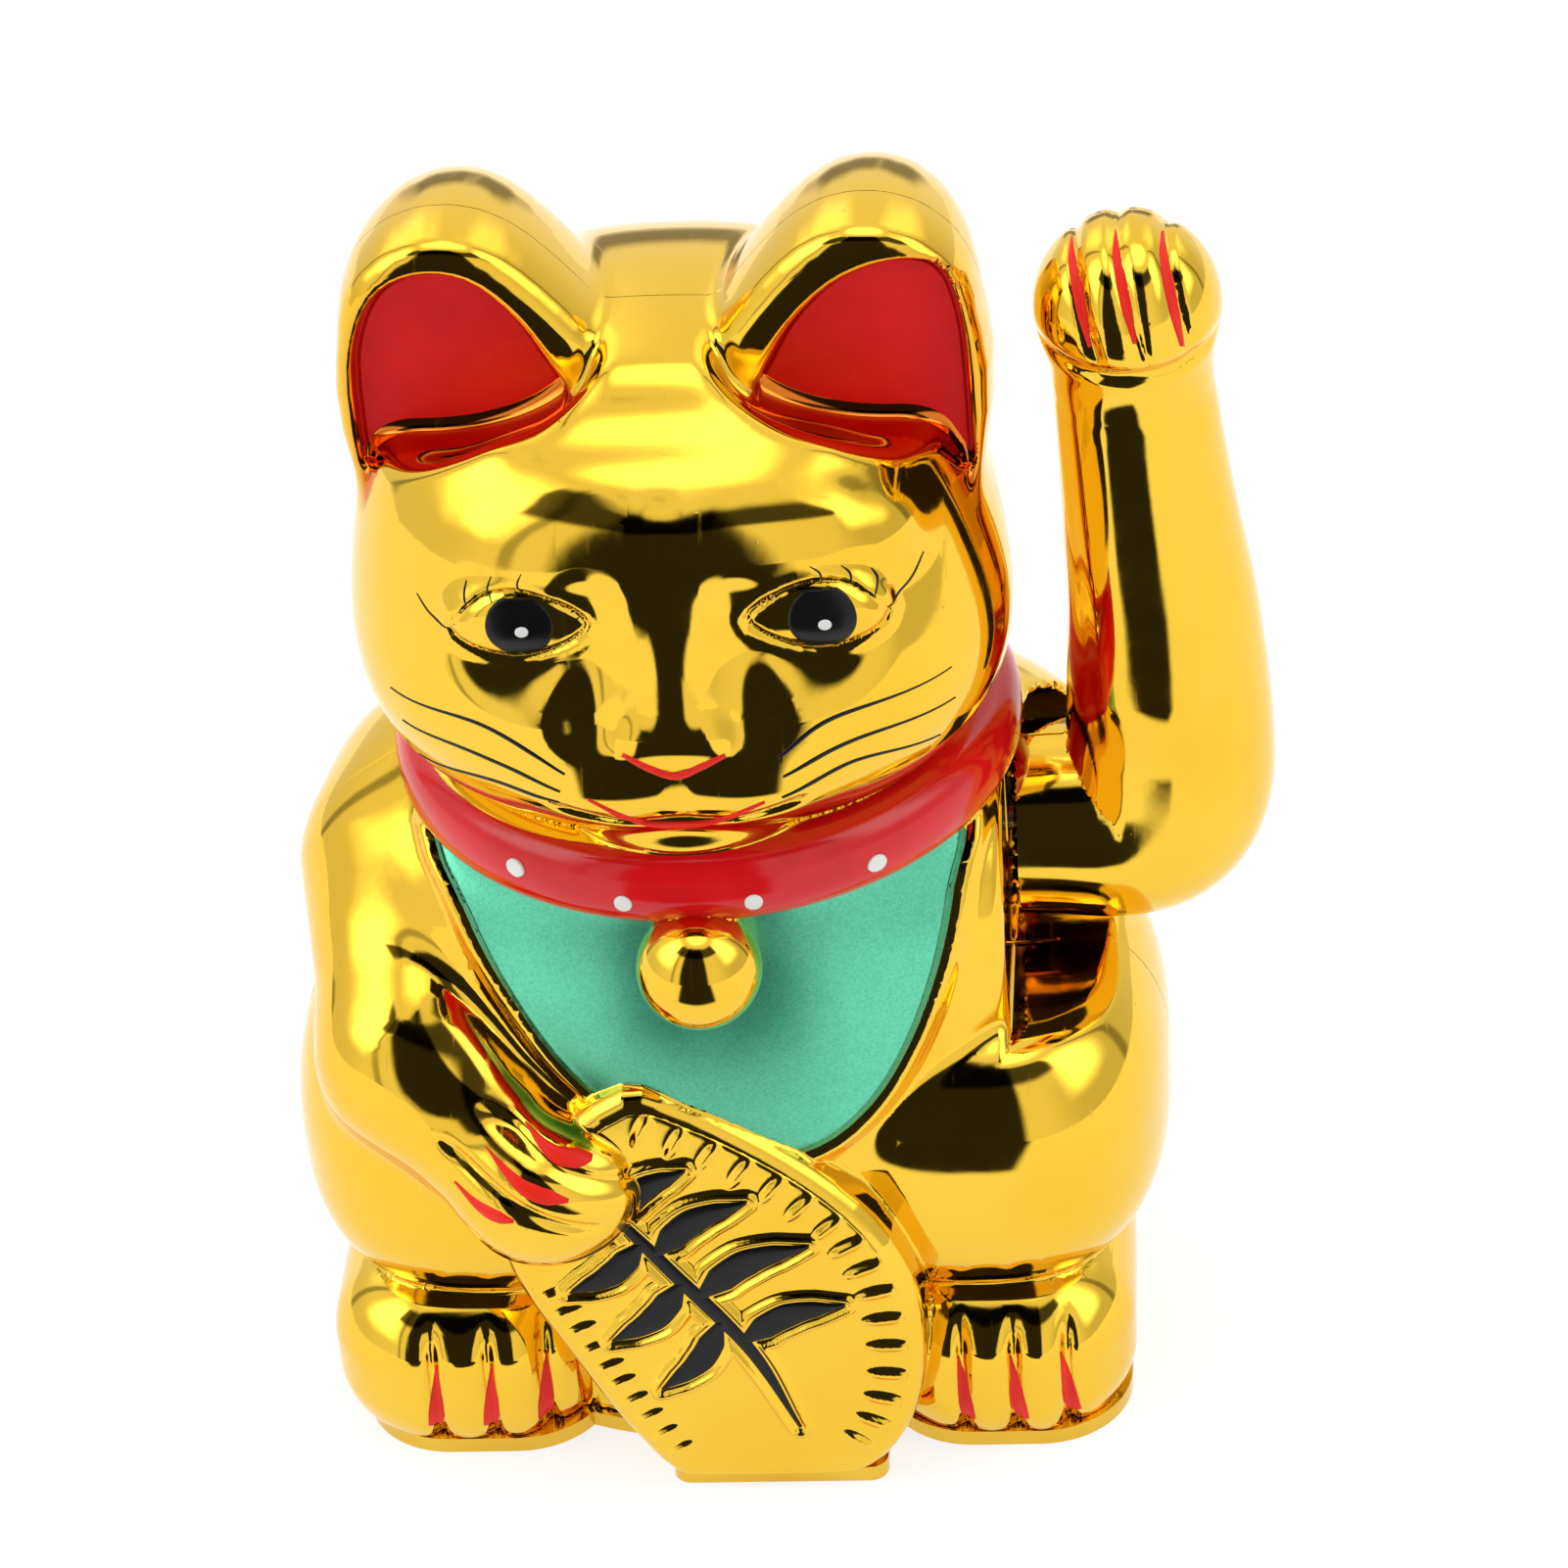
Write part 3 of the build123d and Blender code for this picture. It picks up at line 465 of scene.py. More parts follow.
def settle(f, P, rounds=1, most=0.5):
    for _ in range(rounds):
        v = ev(f, P)
        g = grad(f, P)
        n2 = (g * g).sum(1) + 1e-6
        t = np.clip(v / n2, -most, most)
        P = P - g * t[:, None]
    return P.astype(F4)


def surface_net(f, lo, hi, h):
    lo = np.array(lo, F4)
    n = (np.ceil((np.array(hi) - lo) / h / 4).astype(int)) * 4
    nb = n // 4
    ax = [lo[k] + (np.arange(nb[k]) * 4 + 2) * h for k in range(3)]
    G = np.stack(np.meshgrid(*ax, indexing="ij"), -1).reshape(-1, 3)
    bv = ev(f, G).reshape(nb)
    keep = np.argwhere(np.abs(bv) < 4 * h * 0.87 * 1.15 + 0.7)
    D = np.repeat(np.repeat(np.repeat(bv, 4, 0), 4, 1), 4, 2)
    D = np.pad(D, ((0, 1), (0, 1), (0, 1)), mode="edge")
    o = np.stack(np.meshgrid(*[np.arange(5)] * 3, indexing="ij"), -1).reshape(-1, 3)
    idx = (keep[:, None, :] * 4 + o[None]).reshape(-1, 3)
    flat = np.unique(np.ravel_multi_index(idx.T, D.shape))
    idx = np.stack(np.unravel_index(flat, D.shape), -1)
    D.reshape(-1)[flat] = ev(f, lo + idx.astype(F4) * F4(h))
    ins = D < 0
    c = sum(ins[a:a + n[0], b:b + n[1], d:d + n[2]].astype(np.int8) for a in (0, 1) for b in (0, 1) for d in (0, 1))
    act = (c > 0) & (c < 8)
    cells = np.argwhere(act)
    ids = np.full(act.shape, -1, np.int64)
    ids[act] = np.arange(len(cells))
    acc = np.zeros((len(cells), 3), F4)
    cnt = np.zeros(len(cells), F4)
    for k in range(3):
        for a in (0, 1):
            for b in (0, 1):
                o0 = np.zeros(3, int)
                u, w = [q for q in range(3) if q != k]
                o0[u], o0[w] = a, b
                o1 = o0.copy()
                o1[k] = 1
                v0 = D[tuple((cells + o0).T)]
                v1 = D[tuple((cells + o1).T)]
                cr = (v0 < 0) != (v1 < 0)
                t = np.where(cr, v0 / np.where(cr, v0 - v1, 1), 0)
                pos = np.repeat(o0[None].astype(F4), len(cells), 0)
                pos[:, k] += t
                acc += pos * cr[:, None]
                cnt += cr
    V = lo + (cells + acc / cnt[:, None]) * F4(h)
    quads = []
    for k in range(3):
        u, w = (k + 1) % 3, (k + 2) % 3
        s0 = [slice(1, n[q]) for q in range(3)]
        s1 = [slice(1, n[q]) for q in range(3)]
        s0[k] = slice(0, n[k])
        s1[k] = slice(1, n[k] + 1)
        A = ins[tuple(s0)]
        B = ins[tuple(s1)]
        e = np.argwhere(A != B)
        base = e.copy()
        base[:, u] += 1
        base[:, w] += 1
        inside_first = A[tuple(e.T)]
        du = np.zeros(3, int)
        du[u] = 1
        dw = np.zeros(3, int)
        dw[w] = 1
        q = np.stack([ids[tuple((base - du - dw).T)], ids[tuple((base - dw).T)],
                      ids[tuple(base.T)], ids[tuple((base - du).T)]], -1)
        q[~inside_first] = q[~inside_first][:, ::-1]
        quads.append(q)
    Q = np.concatenate(quads)
    Q = Q[(Q >= 0).all(1)]
    return V.astype(F4), Q


def new_mesh(name, V, faces):
    """V in millimetres; faces an (n, 4) or (n, 3) array or a list of lists"""
    me = bpy.data.meshes.new(name)
    if isinstance(faces, np.ndarray):
        k = faces.shape[1]
        me.vertices.add(len(V))
        me.vertices.foreach_set("co", (np.asarray(V, F4) * F4(MM)).ravel())
        me.loops.add(faces.size)
        me.loops.foreach_set("vertex_index", faces.astype(np.int32).ravel())
        me.polygons.add(len(faces))
        me.polygons.foreach_set("loop_start", (np.arange(len(faces)) * k).astype(np.int32))
        me.update(calc_edges=True)
    else:
        me.from_pydata([tuple(v * MM for v in p) for p in np.asarray(V, float)], [], [list(map(int, q)) for q in faces])
        me.update()
    me.shade_smooth()
    return me


def add_obj(name, me, mat, body="root"):
    ob = bpy.data.objects.new(name, me)
    bpy.context.scene.collection.objects.link(ob)
    if mat is not None:
        me.materials.clear()
        me.materials.append(mat)
    if body:
        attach(ob, body)
    return ob


def co_of(me):
    a = np.empty(len(me.vertices) * 3, F4)
    me.vertices.foreach_get("co", a)
    return a.reshape(-1, 3) / F4(MM)


def refine(P, T, pick):
    """split the picked triangles in four and close the joins round them"""
    E = np.sort(np.concatenate([T[:, [0, 1]], T[:, [1, 2]], T[:, [2, 0]]]), 1)
    key = E[:, 0].astype(np.int64) * (len(P) + 1) + E[:, 1]
    n = len(T)
    hot = np.unique(key[np.concatenate([pick, pick, pick])])
    pos = np.searchsorted(hot, key)
    pos[pos == len(hot)] = 0
    isin = hot[pos] == key
    mid = np.where(isin, len(P) + pos, -1).reshape(3, n).T
    a = (hot // (len(P) + 1)).astype(int)
    b = (hot % (len(P) + 1)).astype(int)
    P2 = np.concatenate([P, (P[a] + P[b]) / 2]).astype(F4)
    cnt = (mid >= 0).sum(1)
    out = [T[cnt == 0]]
    t, m = T[cnt == 3], mid[cnt == 3]
    out += [np.stack([t[:, 0], m[:, 0], m[:, 2]], -1), np.stack([m[:, 0], t[:, 1], m[:, 1]], -1),
            np.stack([m[:, 2], m[:, 1], t[:, 2]], -1), m]
    for k in range(3):
        s1 = (cnt == 1) & (mid[:, k] >= 0)
        t, q = T[s1], mid[s1, k]
        i, j, l = k, (k + 1) % 3, (k + 2) % 3
        out += [np.stack([t[:, i], q, t[:, l]], -1), np.stack([q, t[:, j], t[:, l]], -1)]
        s2 = (cnt == 2) & (mid[:, k] < 0)
        t, m = T[s2], mid[s2]
        # edge k (i-j) is whole; j-l and l-i are split
        qa, qb = m[:, j], m[:, l]
        out += [np.stack([t[:, i], t[:, j], qa], -1), np.stack([t[:, i], qa, qb], -1), np.stack([qb, qa, t[:, l]], -1)]
    return P2, np.concatenate(out)


def skin(name, f, lo, hi, h, ratio, mat, body, outer, cut=None, fine=()):
    """mesh f, thin it out where it is flat, make it finer in the boxes of fine, and take the
    shading from the form itself. cut = (axis value, side): the flat joint face at that y"""
    lo = list(lo)
    if cut is not None:
        k = round((cut[0] - lo[1]) / h - 0.5)
        lo[1] = cut[0] - (k + 0.5) * h
    V, Q = surface_net(f, lo, hi, h)
    V = settle(f, V, 1, 0.5 * h)
    if cut is not None:
        V = snap_rim(outer, V, cut[0], 0.62 * h)
    me = new_mesh(name + "_raw", V, Q)
    tmp = bpy.data.objects.new(name + "_raw", me)
    bpy.context.scene.collection.objects.link(tmp)
    md = tmp.modifiers.new("thin", "DECIMATE")
    md.ratio = ratio
    md.use_collapse_triangulate = True
    bpy.context.view_layer.update()
    out = bpy.data.meshes.new_from_object(tmp.evaluated_get(bpy.context.evaluated_depsgraph_get()))
    bpy.data.objects.remove(tmp)
    bpy.data.meshes.remove(me)
    out.name = name
    P = co_of(out)
    T = np.empty(len(out.polygons) * 3, np.int32)
    out.loops.foreach_get("vertex_index", T)
    T = T.reshape(-1, 3).astype(np.int64)
    if cut is not None:
        rim = np.abs(P[:, 1] - cut[0]) < 0.02
    else:
        rim = np.zeros(len(P), bool)
    P[~rim] = settle(f, P[~rim], 1, 0.35 * h)
    for b0, b1 in fine:
        C3 = P[T].mean(1)
        e = np.linalg.norm(P[T[:, 0]] - P[T[:, 1]], axis=1) + np.linalg.norm(P[T[:, 1]] - P[T[:, 2]], axis=1)
        pick = ((C3 > b0) & (C3 < b1)).all(1) & (e > 0.9)
        pick &= ev(outer, C3) > -0.7
        if cut is not None:
            pick &= np.abs(C3[:, 1] - cut[0]) > 0.8
        n0 = len(P)
        if pick.any():
            P, T = refine(P, T, pick)
            P[n0:] = settle(f, P[n0:], 2, 0.4)
    bpy.data.meshes.remove(out)
    out = new_mesh(name, P, T)
    # each corner takes whichever shading direction fits its own face
    N = unit(grad(f, P, 0.10))
    No = unit(grad(outer, P, 0.10))
    A, B, Cc = P[T[:, 0]], P[T[:, 1]], P[T[:, 2]]
    fn = unit(np.cross(B - A, Cc - A))
    L = N[T].reshape(-1, 3)
    Lo = No[T].reshape(-1, 3)
    fl_ = np.repeat(fn, 3, 0)
    d1, d2 = (L * fl_).sum(1), (Lo * fl_).sum(1)
    use = d2 > np.maximum(d1, 0.75)
    L = np.where(use[:, None], Lo, L)
    bad = np.maximum(d1, d2) < 0.72
    L = np.where(bad[:, None], fl_, L)
    out.normals_split_custom_set([tuple(map(float, n)) for n in L])
    ob = add_obj(name, out, mat, body)
    print("PIECE", name, "tris", len(out.polygons), "verts", len(P))
    return ob, P


def snap_rim(outer, V, y, w):
    """put the vertices beside the edge of a joint face on the edge itself"""
    v = ev(outer, V)
    near_ = np.abs(V[:, 1] - y) < w
    for level in (0.0, -1.9):
        m = near_ & (np.abs(v - level) < w)
        P = V[m].copy()
        P[:, 1] = y
        for _ in range(2):
            r = ev(outer, P) - F4(level)
            g = grad(outer, P)
            g[:, 1] = 0
            t = np.clip(r / ((g * g).sum(1) + 1e-3), -w, w)
            P -= g * t[:, None]
            P[:, 1] = y
        V[m] = P
    return V


# ---- thin painted or enamelled areas that lie on the form --------------
def trace(f, P, d, n=60):
    P = np.asarray(P, F4).copy()
    d = np.asarray(unit(np.asarray(d, float)), F4)
    for _ in range(n):
        P += d * (ev(f, P) * F4(0.85))[:, None]
    return P


def catmull(P, n):
    P = np.asarray(P, float)
    if len(P) == 2:
        t = np.linspace(0, 1, n)[:, None]
        return P[0] * (1 - t) + P[1] * t
    Q = np.vstack([2 * P[0] - P[1], P, 2 * P[-1] - P[-2]])
    out = []
    m = len(P) - 1
    for s in np.linspace(0, m, n):
        i = min(int(s), m - 1)
        t = s - i
        p0, p1, p2, p3 = Q[i], Q[i + 1], Q[i + 2], Q[i + 3]
        out.append(0.5 * (2 * p1 + (p2 - p0) * t + (2 * p0 - 5 * p1 + 4 * p2 - p3) * t * t + (3 * p1 - p0 - 3 * p2 + p3) * t ** 3))
    return np.array(out)


class Pile:
    """collects closed bits of mesh into one piece"""

    def __init__(self):
        self.V, self.F, self.n = [], [], 0

    def add(self, V, F):
        self.V.append(np.asarray(V, float))
        self.F += [[i + self.n for i in q] for q in F]
        self.n += len(V)

    def make(self, name, mat, body="root", slot=None, sharp=None):
        me = new_mesh(name, np.concatenate(self.V), self.F)
        bm = bmesh.new()
        bm.from_mesh(me)
        bmesh.ops.recalc_face_normals(bm, faces=bm.faces)
        bm.to_mesh(me)
        bm.free()
        if sharp:
            me.set_sharp_from_angle(angle=math.radians(sharp))
        return add_obj(name, me, mat, body)


def ribbon(pile, f, pts, widths, d, lift=0.10, depth=0.12, n=24):
    """a tapered stroke along pts (3-D points), laid on f along direction d"""
    c = catmull(pts, n)
    w = np.interp(np.linspace(0, 1, n), np.linspace(0, 1, len(widths)), widths)
    d = np.asarray(unit(np.asarray(d, float)))
    t = unit(np.gradient(c, axis=0))
    s = unit(np.cross(t, d))
    ks = np.array([-1, -0.7, 0, 0.7, 1.0])
    lifts = np.array([0.1, 0.85, 1, 0.85, 0.1])
    G = c[:, None, :] + s[:, None, :] * (ks[None, :, None] * w[:, None, None] / 2)
    back = 14.0
    P = trace(f, (G - d * back).reshape(-1, 3), d)
    N = unit(grad(f, P, 0.25))
    top = (P + N * (np.tile(lifts, n) * lift)[:, None]).reshape(n, 5, 3)
    bot = (P - N * depth).reshape(n, 5, 3)[:, [0, 2, 4]]
    V = np.concatenate([top.reshape(-1, 3), bot.reshape(-1, 3)])
    F = []
    T = lambda i, j: i * 5 + j
    Bt = lambda i, j: n * 5 + i * 3 + j
    for i in range(n - 1):
        for j in range(4):
            F.append([T(i, j), T(i + 1, j), T(i + 1, j + 1), T(i, j + 1)])
        for j in range(2):
            F.append([Bt(i, j), Bt(i, j + 1), Bt(i + 1, j + 1), Bt(i + 1, j)])
        F.append([T(i, 0), Bt(i, 0), Bt(i + 1, 0), T(i + 1, 0)])
        F.append([T(i, 4), T(i + 1, 4), Bt(i + 1, 2), Bt(i, 2)])
    for i in (0, n - 1):
        F.append([T(i, 0), T(i, 1), T(i, 2), T(i, 3), T(i, 4), Bt(i, 2), Bt(i, 1), Bt(i, 0)])
    pile.add(V, F)


def patch(pile, f, outline, d, lift=0.12, depth=0.15, centre=None, rings=10, to3=None, edge=0.04):
    """an area inside a closed outline (points in x, z unless to3 says), laid on f along d"""
    O = np.array(outline, float)
    c = O.mean(0) if centre is None else np.array(centre, float)
    n = len(O)
    r = np.concatenate([np.linspace(0, 1, rings + 1)[1:-1], [1 - edge, 1.0]])
    prof = np.concatenate([np.ones(len(r) - 2), [0.95, 0.15]])
    U = np.concatenate([c[None]] + [c + (O - c) * k for k in r])
    lf = np.concatenate([[1.0]] + [np.full(n, k) for k in prof]) * lift
    d = np.asarray(unit(np.asarray(d, float)))
    P3 = to3(U) if to3 else np.stack([U[:, 0], np.full(len(U), -60.0), U[:, 1]], -1)
    P = trace(f, P3, d)
    N = unit(grad(f, P, 0.25))
    top = P + N * lf[:, None]
    m = len(P)
    bot = P - N * depth
    F = []
    R = len(r)
    for off, flip in ((0, False), (m, True)):
        for j in range(n):
            q = [off, off + 1 + j, off + 1 + (j + 1) % n]
            F.append(q[::-1] if flip else q)
        for i in range(R - 1):
            a, b = off + 1 + i * n, off + 1 + (i + 1) * n
            for j in range(n):
                k = (j + 1) % n
                q = [a + j, b + j, b + k, a + k]
                F.append(q[::-1] if flip else q)
    a = 1 + (R - 1) * n
    for j in range(n):
        k = (j + 1) % n
        F.append([a + k, a + j, m + a + j, m + a + k])
    pile.add(np.concatenate([top, bot]), F)


def resample(P, n):
    P = np.array(P, float)
    Q = np.vstack([P, P[:1]])
    s = np.concatenate([[0], np.cumsum(np.linalg.norm(np.diff(Q, axis=0), axis=1))])
    t = np.linspace(0, s[-1], n, endpoint=False)
    return np.stack([np.interp(t, s, Q[:, k]) for k in range(2)], -1)


# =====================================================================
#  3.  Materials
# =====================================================================
def new_mat(name):
    m = bpy.data.materials.new(name)
    m.use_nodes = True
    nt = m.node_tree
    nt.nodes.clear()
    out = nt.nodes.new("ShaderNodeOutputMaterial")
    b = nt.nodes.new("ShaderNodeBsdfPrincipled")
    nt.links.new(b.outputs[0], out.inputs[0])
    return m, nt, b


def nd(nt, kind, **kw):
    n = nt.nodes.new(kind)
    for k, v in kw.items():
        if k.startswith("i_"):
            n.inputs[int(k[2:]) if k[2:].isdigit() else k[2:]].default_value = v
        else:
            setattr(n, k, v)
    return n


def noise(nt, scale, detail=3.0, rough=0.5, vec=None, stretch=None):
    tc = nd(nt, "ShaderNodeTexCoord")
    mp = nd(nt, "ShaderNodeMapping")
    nt.links.new(tc.outputs["Object"], mp.inputs[0])
    if stretch:
        mp.inputs["Scale"].default_value = stretch
    n = nd(nt, "ShaderNodeTexNoise")
    n.inputs["Scale"].default_value = scale
    n.inputs["Detail"].default_value = detail
    n.inputs["Roughness"].default_value = rough
    nt.links.new(mp.outputs[0], n.inputs["Vector"])
    return n


def ramp(nt, src, stops):
    r = nd(nt, "ShaderNodeValToRGB")
    e = r.color_ramp.elements
    while len(e) < len(stops):
        e.new(0.5)
    for k, (p, c) in enumerate(stops):
        e[k].position = p
        e[k].color = tuple(c) + (1,) if len(c) == 3 else c
    nt.links.new(src, r.inputs[0])
    return r


def grey(v):
    return (v, v, v)


def bump(nt, b, src, strength, dist, chain=None):
    n = nd(nt, "ShaderNodeBump")
    n.inputs["Strength"].default_value = strength
    n.inputs["Distance"].default_value = dist
    nt.links.new(src, n.inputs["Height"])
    if chain is not None:
        nt.links.new(chain.outputs[0], n.inputs["Normal"])
    nt.links.new(n.outputs[0], b.inputs["Normal"])
    return n


def gold_plate(name, base=(0.88, 0.565, 0.055), warm=(0.86, 0.53, 0.042), rough=0.045, sprayed=False):
    """vacuum-plated plastic: mirror-bright, faint orange peel, hairline scratches, dust pits"""
    m, nt, b = new_mat(name)
    b.inputs["Metallic"].default_value = 1.0
    n1 = noise(nt, 45, 2)
    c = ramp(nt, n1.outputs[0], [(0.35, base), (0.7, warm)])
    col = c.outputs[0]
    if sprayed:
        at = nd(nt, "ShaderNodeAttribute", attribute_name="spray")
        sep = nd(nt, "ShaderNodeSeparateColor")
        nt.links.new(at.outputs["Color"], sep.inputs[0])
        mx = nd(nt, "ShaderNodeMix", data_type="RGBA")
        mx.inputs[7].default_value = (0.62, 0.035, 0.012, 1)
        nt.links.new(sep.outputs[0], mx.inputs[0])
        nt.links.new(col, mx.inputs[6])
        col = mx.outputs[2]
        mx2 = nd(nt, "ShaderNodeMix", data_type="RGBA")
        mx2.inputs[7].default_value = (0.10, 0.05, 0.012, 1)
        nt.links.new(sep.outputs[1], mx2.inputs[0])
        nt.links.new(col, mx2.inputs[6])
        col = mx2.outputs[2]
    nt.links.new(col, b.inputs["Base Color"])
    # roughness: smudges, plus hairlines
    n2 = noise(nt, 160, 4, 0.6)
    sc = noise(nt, 900, 2, 0.5, stretch=(1.0, 0.25, 0.05))
    r1 = ramp(nt, n2.outputs[0], [(0.40, grey(rough)), (0.75, grey(rough + 0.075))])
    r2 = ramp(nt, sc.outputs[0], [(0.66, grey(0.0)), (0.74, grey(0.10))])
    add = nd(nt, "ShaderNodeMath", operation="ADD")
    nt.links.new(r1.outputs[0], add.inputs[0])
    nt.links.new(r2.outputs[0], add.inputs[1])
    nt.links.new(add.outputs[0], b.inputs["Roughness"])
    # bump: soft orange peel, then sparse dust pits under the plating
    b1 = bump(nt, b, noise(nt, 260, 2, 0.4).outputs[0], 0.10, 0.00012)
    vo = nd(nt, "ShaderNodeTexVoronoi")
    vo.inputs["Scale"].default_value = 420
    tc = nd(nt, "ShaderNodeTexCoord")
    nt.links.new(tc.outputs["Object"], vo.inputs["Vector"])
    pit = ramp(nt, vo.outputs["Distance"], [(0.0, grey(1.0)), (0.10, grey(0.0))])
    gate = noise(nt, 75, 2)
    g2 = ramp(nt, gate.outputs[0], [(0.60, grey(0.0)), (0.66, grey(1.0))])
    mul = nd(nt, "ShaderNodeMath", operation="MULTIPLY")
    nt.links.new(pit.outputs[0], mul.inputs[0])
    nt.links.new(g2.outputs[0], mul.inputs[1])
    bump(nt, b, mul.outputs[0], 0.35, 0.0001, b1)
    return m


def lacquer(name, col, dark, rough=0.18, coat=0.8, peel=0.12, metallic=0.0, spec=0.5):
    """glossy brushed-on paint, pooled a little deeper in places"""
    m, nt, b = new_mat(name)
    n1 = noise(nt, 130, 3)
    c = ramp(nt, n1.outputs[0], [(0.3, dark), (0.62, col)])
    nt.links.new(c.outputs[0], b.inputs["Base Color"])
    b.inputs["Metallic"].default_value = metallic
    r = ramp(nt, noise(nt, 300, 3).outputs[0], [(0.3, grey(rough)), (0.8, grey(rough + 0.12))])
    nt.links.new(r.outputs[0], b.inputs["Roughness"])
    b.inputs["Specular IOR Level"].default_value = spec
    b.inputs["Coat Weight"].default_value = coat
    b.inputs["Coat Roughness"].default_value = 0.05
    bump(nt, b, noise(nt, 420, 2).outputs[0], peel, 0.00015)
    return m


def flake(name, col, deep, light):
    """satin metallic paint with fine flake"""
    m, nt, b = new_mat(name)
    tc = nd(nt, "ShaderNodeTexCoord")
    vo = nd(nt, "ShaderNodeTexVoronoi")
    vo.inputs["Scale"].default_value = 4200
    nt.links.new(tc.outputs["Object"], vo.inputs["Vector"])
    sp = nd(nt, "ShaderNodeSeparateColor")
    nt.links.new(vo.outputs["Color"], sp.inputs[0])
    c = ramp(nt, sp.outputs[0], [(0.0, deep), (0.35, col), (1.0, light)])
    nt.links.new(c.outputs[0], b.inputs["Base Color"])
    b.inputs["Metallic"].default_value = 0.85
    r = ramp(nt, noise(nt, 220, 3).outputs[0], [(0.3, grey(0.30)), (0.75, grey(0.38))])
    nt.links.new(r.outputs[0], b.inputs["Roughness"])
    b.inputs["Coat Weight"].default_value = 0.6
    b.inputs["Coat Roughness"].default_value = 0.22
    bump(nt, b, sp.outputs[1], 0.12, 0.00006)
    return m


def metal(name, col, rough, brushed=None, spots=None):
    m, nt, b = new_mat(name)
    b.inputs["Metallic"].default_value = 1.0
    n = noise(nt, 300, 4, 0.6, stretch=brushed)
    c = ramp(nt, n.outputs[0], [(0.3, tuple(v * 0.82 for v in col)), (0.7, col)])
    nt.links.new(c.outputs[0], b.inputs["Base Color"])
    r = ramp(nt, n.outputs[0], [(0.3, grey(rough)), (0.75, grey(rough + 0.16))])
    nt.links.new(r.outputs[0], b.inputs["Roughness"])
    bump(nt, b, n.outputs[0], 0.15, 0.00008)
    return m


def plastic(name, col, rough=0.42, grain=900):
    m, nt, b = new_mat(name)
    c = ramp(nt, noise(nt, 90, 3).outputs[0], [(0.3, tuple(v * 0.88 for v in col)), (0.7, col)])
    nt.links.new(c.outputs[0], b.inputs["Base Color"])
    n = noise(nt, grain, 2)
    r = ramp(nt, n.outputs[0], [(0.3, grey(rough)), (0.8, grey(rough + 0.14))])
    nt.links.new(r.outputs[0], b.inputs["Roughness"])
    bump(nt, b, n.outputs[0], 0.12, 0.00006)
    return m


M_gold = gold_plate("gold_plate", sprayed=True)
M_gold2 = gold_plate("gold_plate_plain")
M_base = gold_plate("gold_plate_base", base=(0.82, 0.52, 0.06), warm=(0.72, 0.43, 0.045), rough=0.12)
M_red = lacquer("red_lacquer", (0.86, 0.012, 0.012), (0.76, 0.009, 0.010), rough=0.3, coat=0.06, spec=0.18)
M_red_line = lacquer("red_line", (0.90, 0.028, 0.016), (0.78, 0.020, 0.012), rough=0.3, coat=0.05, spec=0.15)
M_collar = lacquer("collar_red", (0.74, 0.008, 0.011), (0.64, 0.006, 0.008), rough=0.10, coat=0.30, spec=0.25)
M_black = lacquer("black_enamel", (0.006, 0.006, 0.007), (0.003, 0.003, 0.0035), rough=0.22, coat=0.12, spec=0.22)
# white paint for the collar dots, also used for the painted highlight on the eyes
M_white = lacquer("white_enamel_and_glint", (0.86, 0.86, 0.84), (0.74, 0.74, 0.72), rough=0.25, coat=0.5)
M_green = flake("green_flake", (0.10, 0.60, 0.37), (0.085, 0.54, 0.33), (0.13, 0.66, 0.42))
M_steel = metal("steel", (0.62, 0.63, 0.65), 0.24, brushed=(1, 1, 0.08))
M_screw = metal("screw_zinc", (0.70, 0.71, 0.72), 0.28)
M_zinc = metal("zinc_cast", (0.50, 0.51, 0.52), 0.46)
M_magnet = metal("magnet_nickel", (0.40, 0.41, 0.43), 0.20)
M_nickel = metal("nickel_contact", (0.68, 0.64, 0.56), 0.22, brushed=(0.1, 1, 1))
M_copper = metal("copper_wire", (0.72, 0.28, 0.12), 0.26, brushed=(1, 12, 1))
M_nylon = plastic("white_nylon", (0.78, 0.77, 0.72), 0.40)
M_black_ny = plastic("black_nylon", (0.018, 0.018, 0.02), 0.38)
M_board = plastic("green_board", (0.015, 0.13, 0.045), 0.32)
M_chip = plastic("chip_epoxy", (0.012, 0.012, 0.013), 0.50, 1800)
M_sleeve = plastic("capacitor_sleeve", (0.012, 0.03, 0.14), 0.30)
M_jacket = plastic("battery_jacket", (0.03, 0.10, 0.30), 0.26)
M_redpvc = plastic("red_pvc", (0.50, 0.02, 0.015), 0.36)
M_blkpvc = plastic("black_pvc", (0.014, 0.014, 0.014), 0.36)

CAD_MATS = {
    "base_plate": M_base, "battery_door": M_base, "arm_shaft": M_steel, "shaft_clips": M_steel,
    "pendulum_lever": M_nylon, "counterweight": M_zinc, "drive_magnet": M_magnet, "movement_frame": M_nylon,
    "coil_bobbin": M_nylon, "coil_winding": M_copper, "circuit_board": M_board, "driver_chip": M_chip,
    "filter_capacitor": M_sleeve, "battery_cell": M_jacket, "negative_contact": M_nickel,
    "positive_contact": M_nickel, "lead_wire_red": M_redpvc, "lead_wire_black": M_blkpvc,
    "switch_housing": M_black_ny, "switch_slider": M_black_ny, "base_screws": M_screw,
    "frame_screws": M_screw, "board_screws": M_screw,
}
for node, mat in CAD_MATS.items():
    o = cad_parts[node]
    o.data.materials.clear()
    o.data.materials.append(mat)


# =====================================================================
#  4.  Shells
# =====================================================================
K = 1.0


def spray(ob, P, r, g):
    at = ob.data.color_attributes.new("spray", "FLOAT_COLOR", "POINT")
    c = np.zeros((len(P), 4), F4)
    c[:, 0] = r
    c[:, 1] = g
    c[:, 3] = 1
    at.data.foreach_set("color", c.ravel())


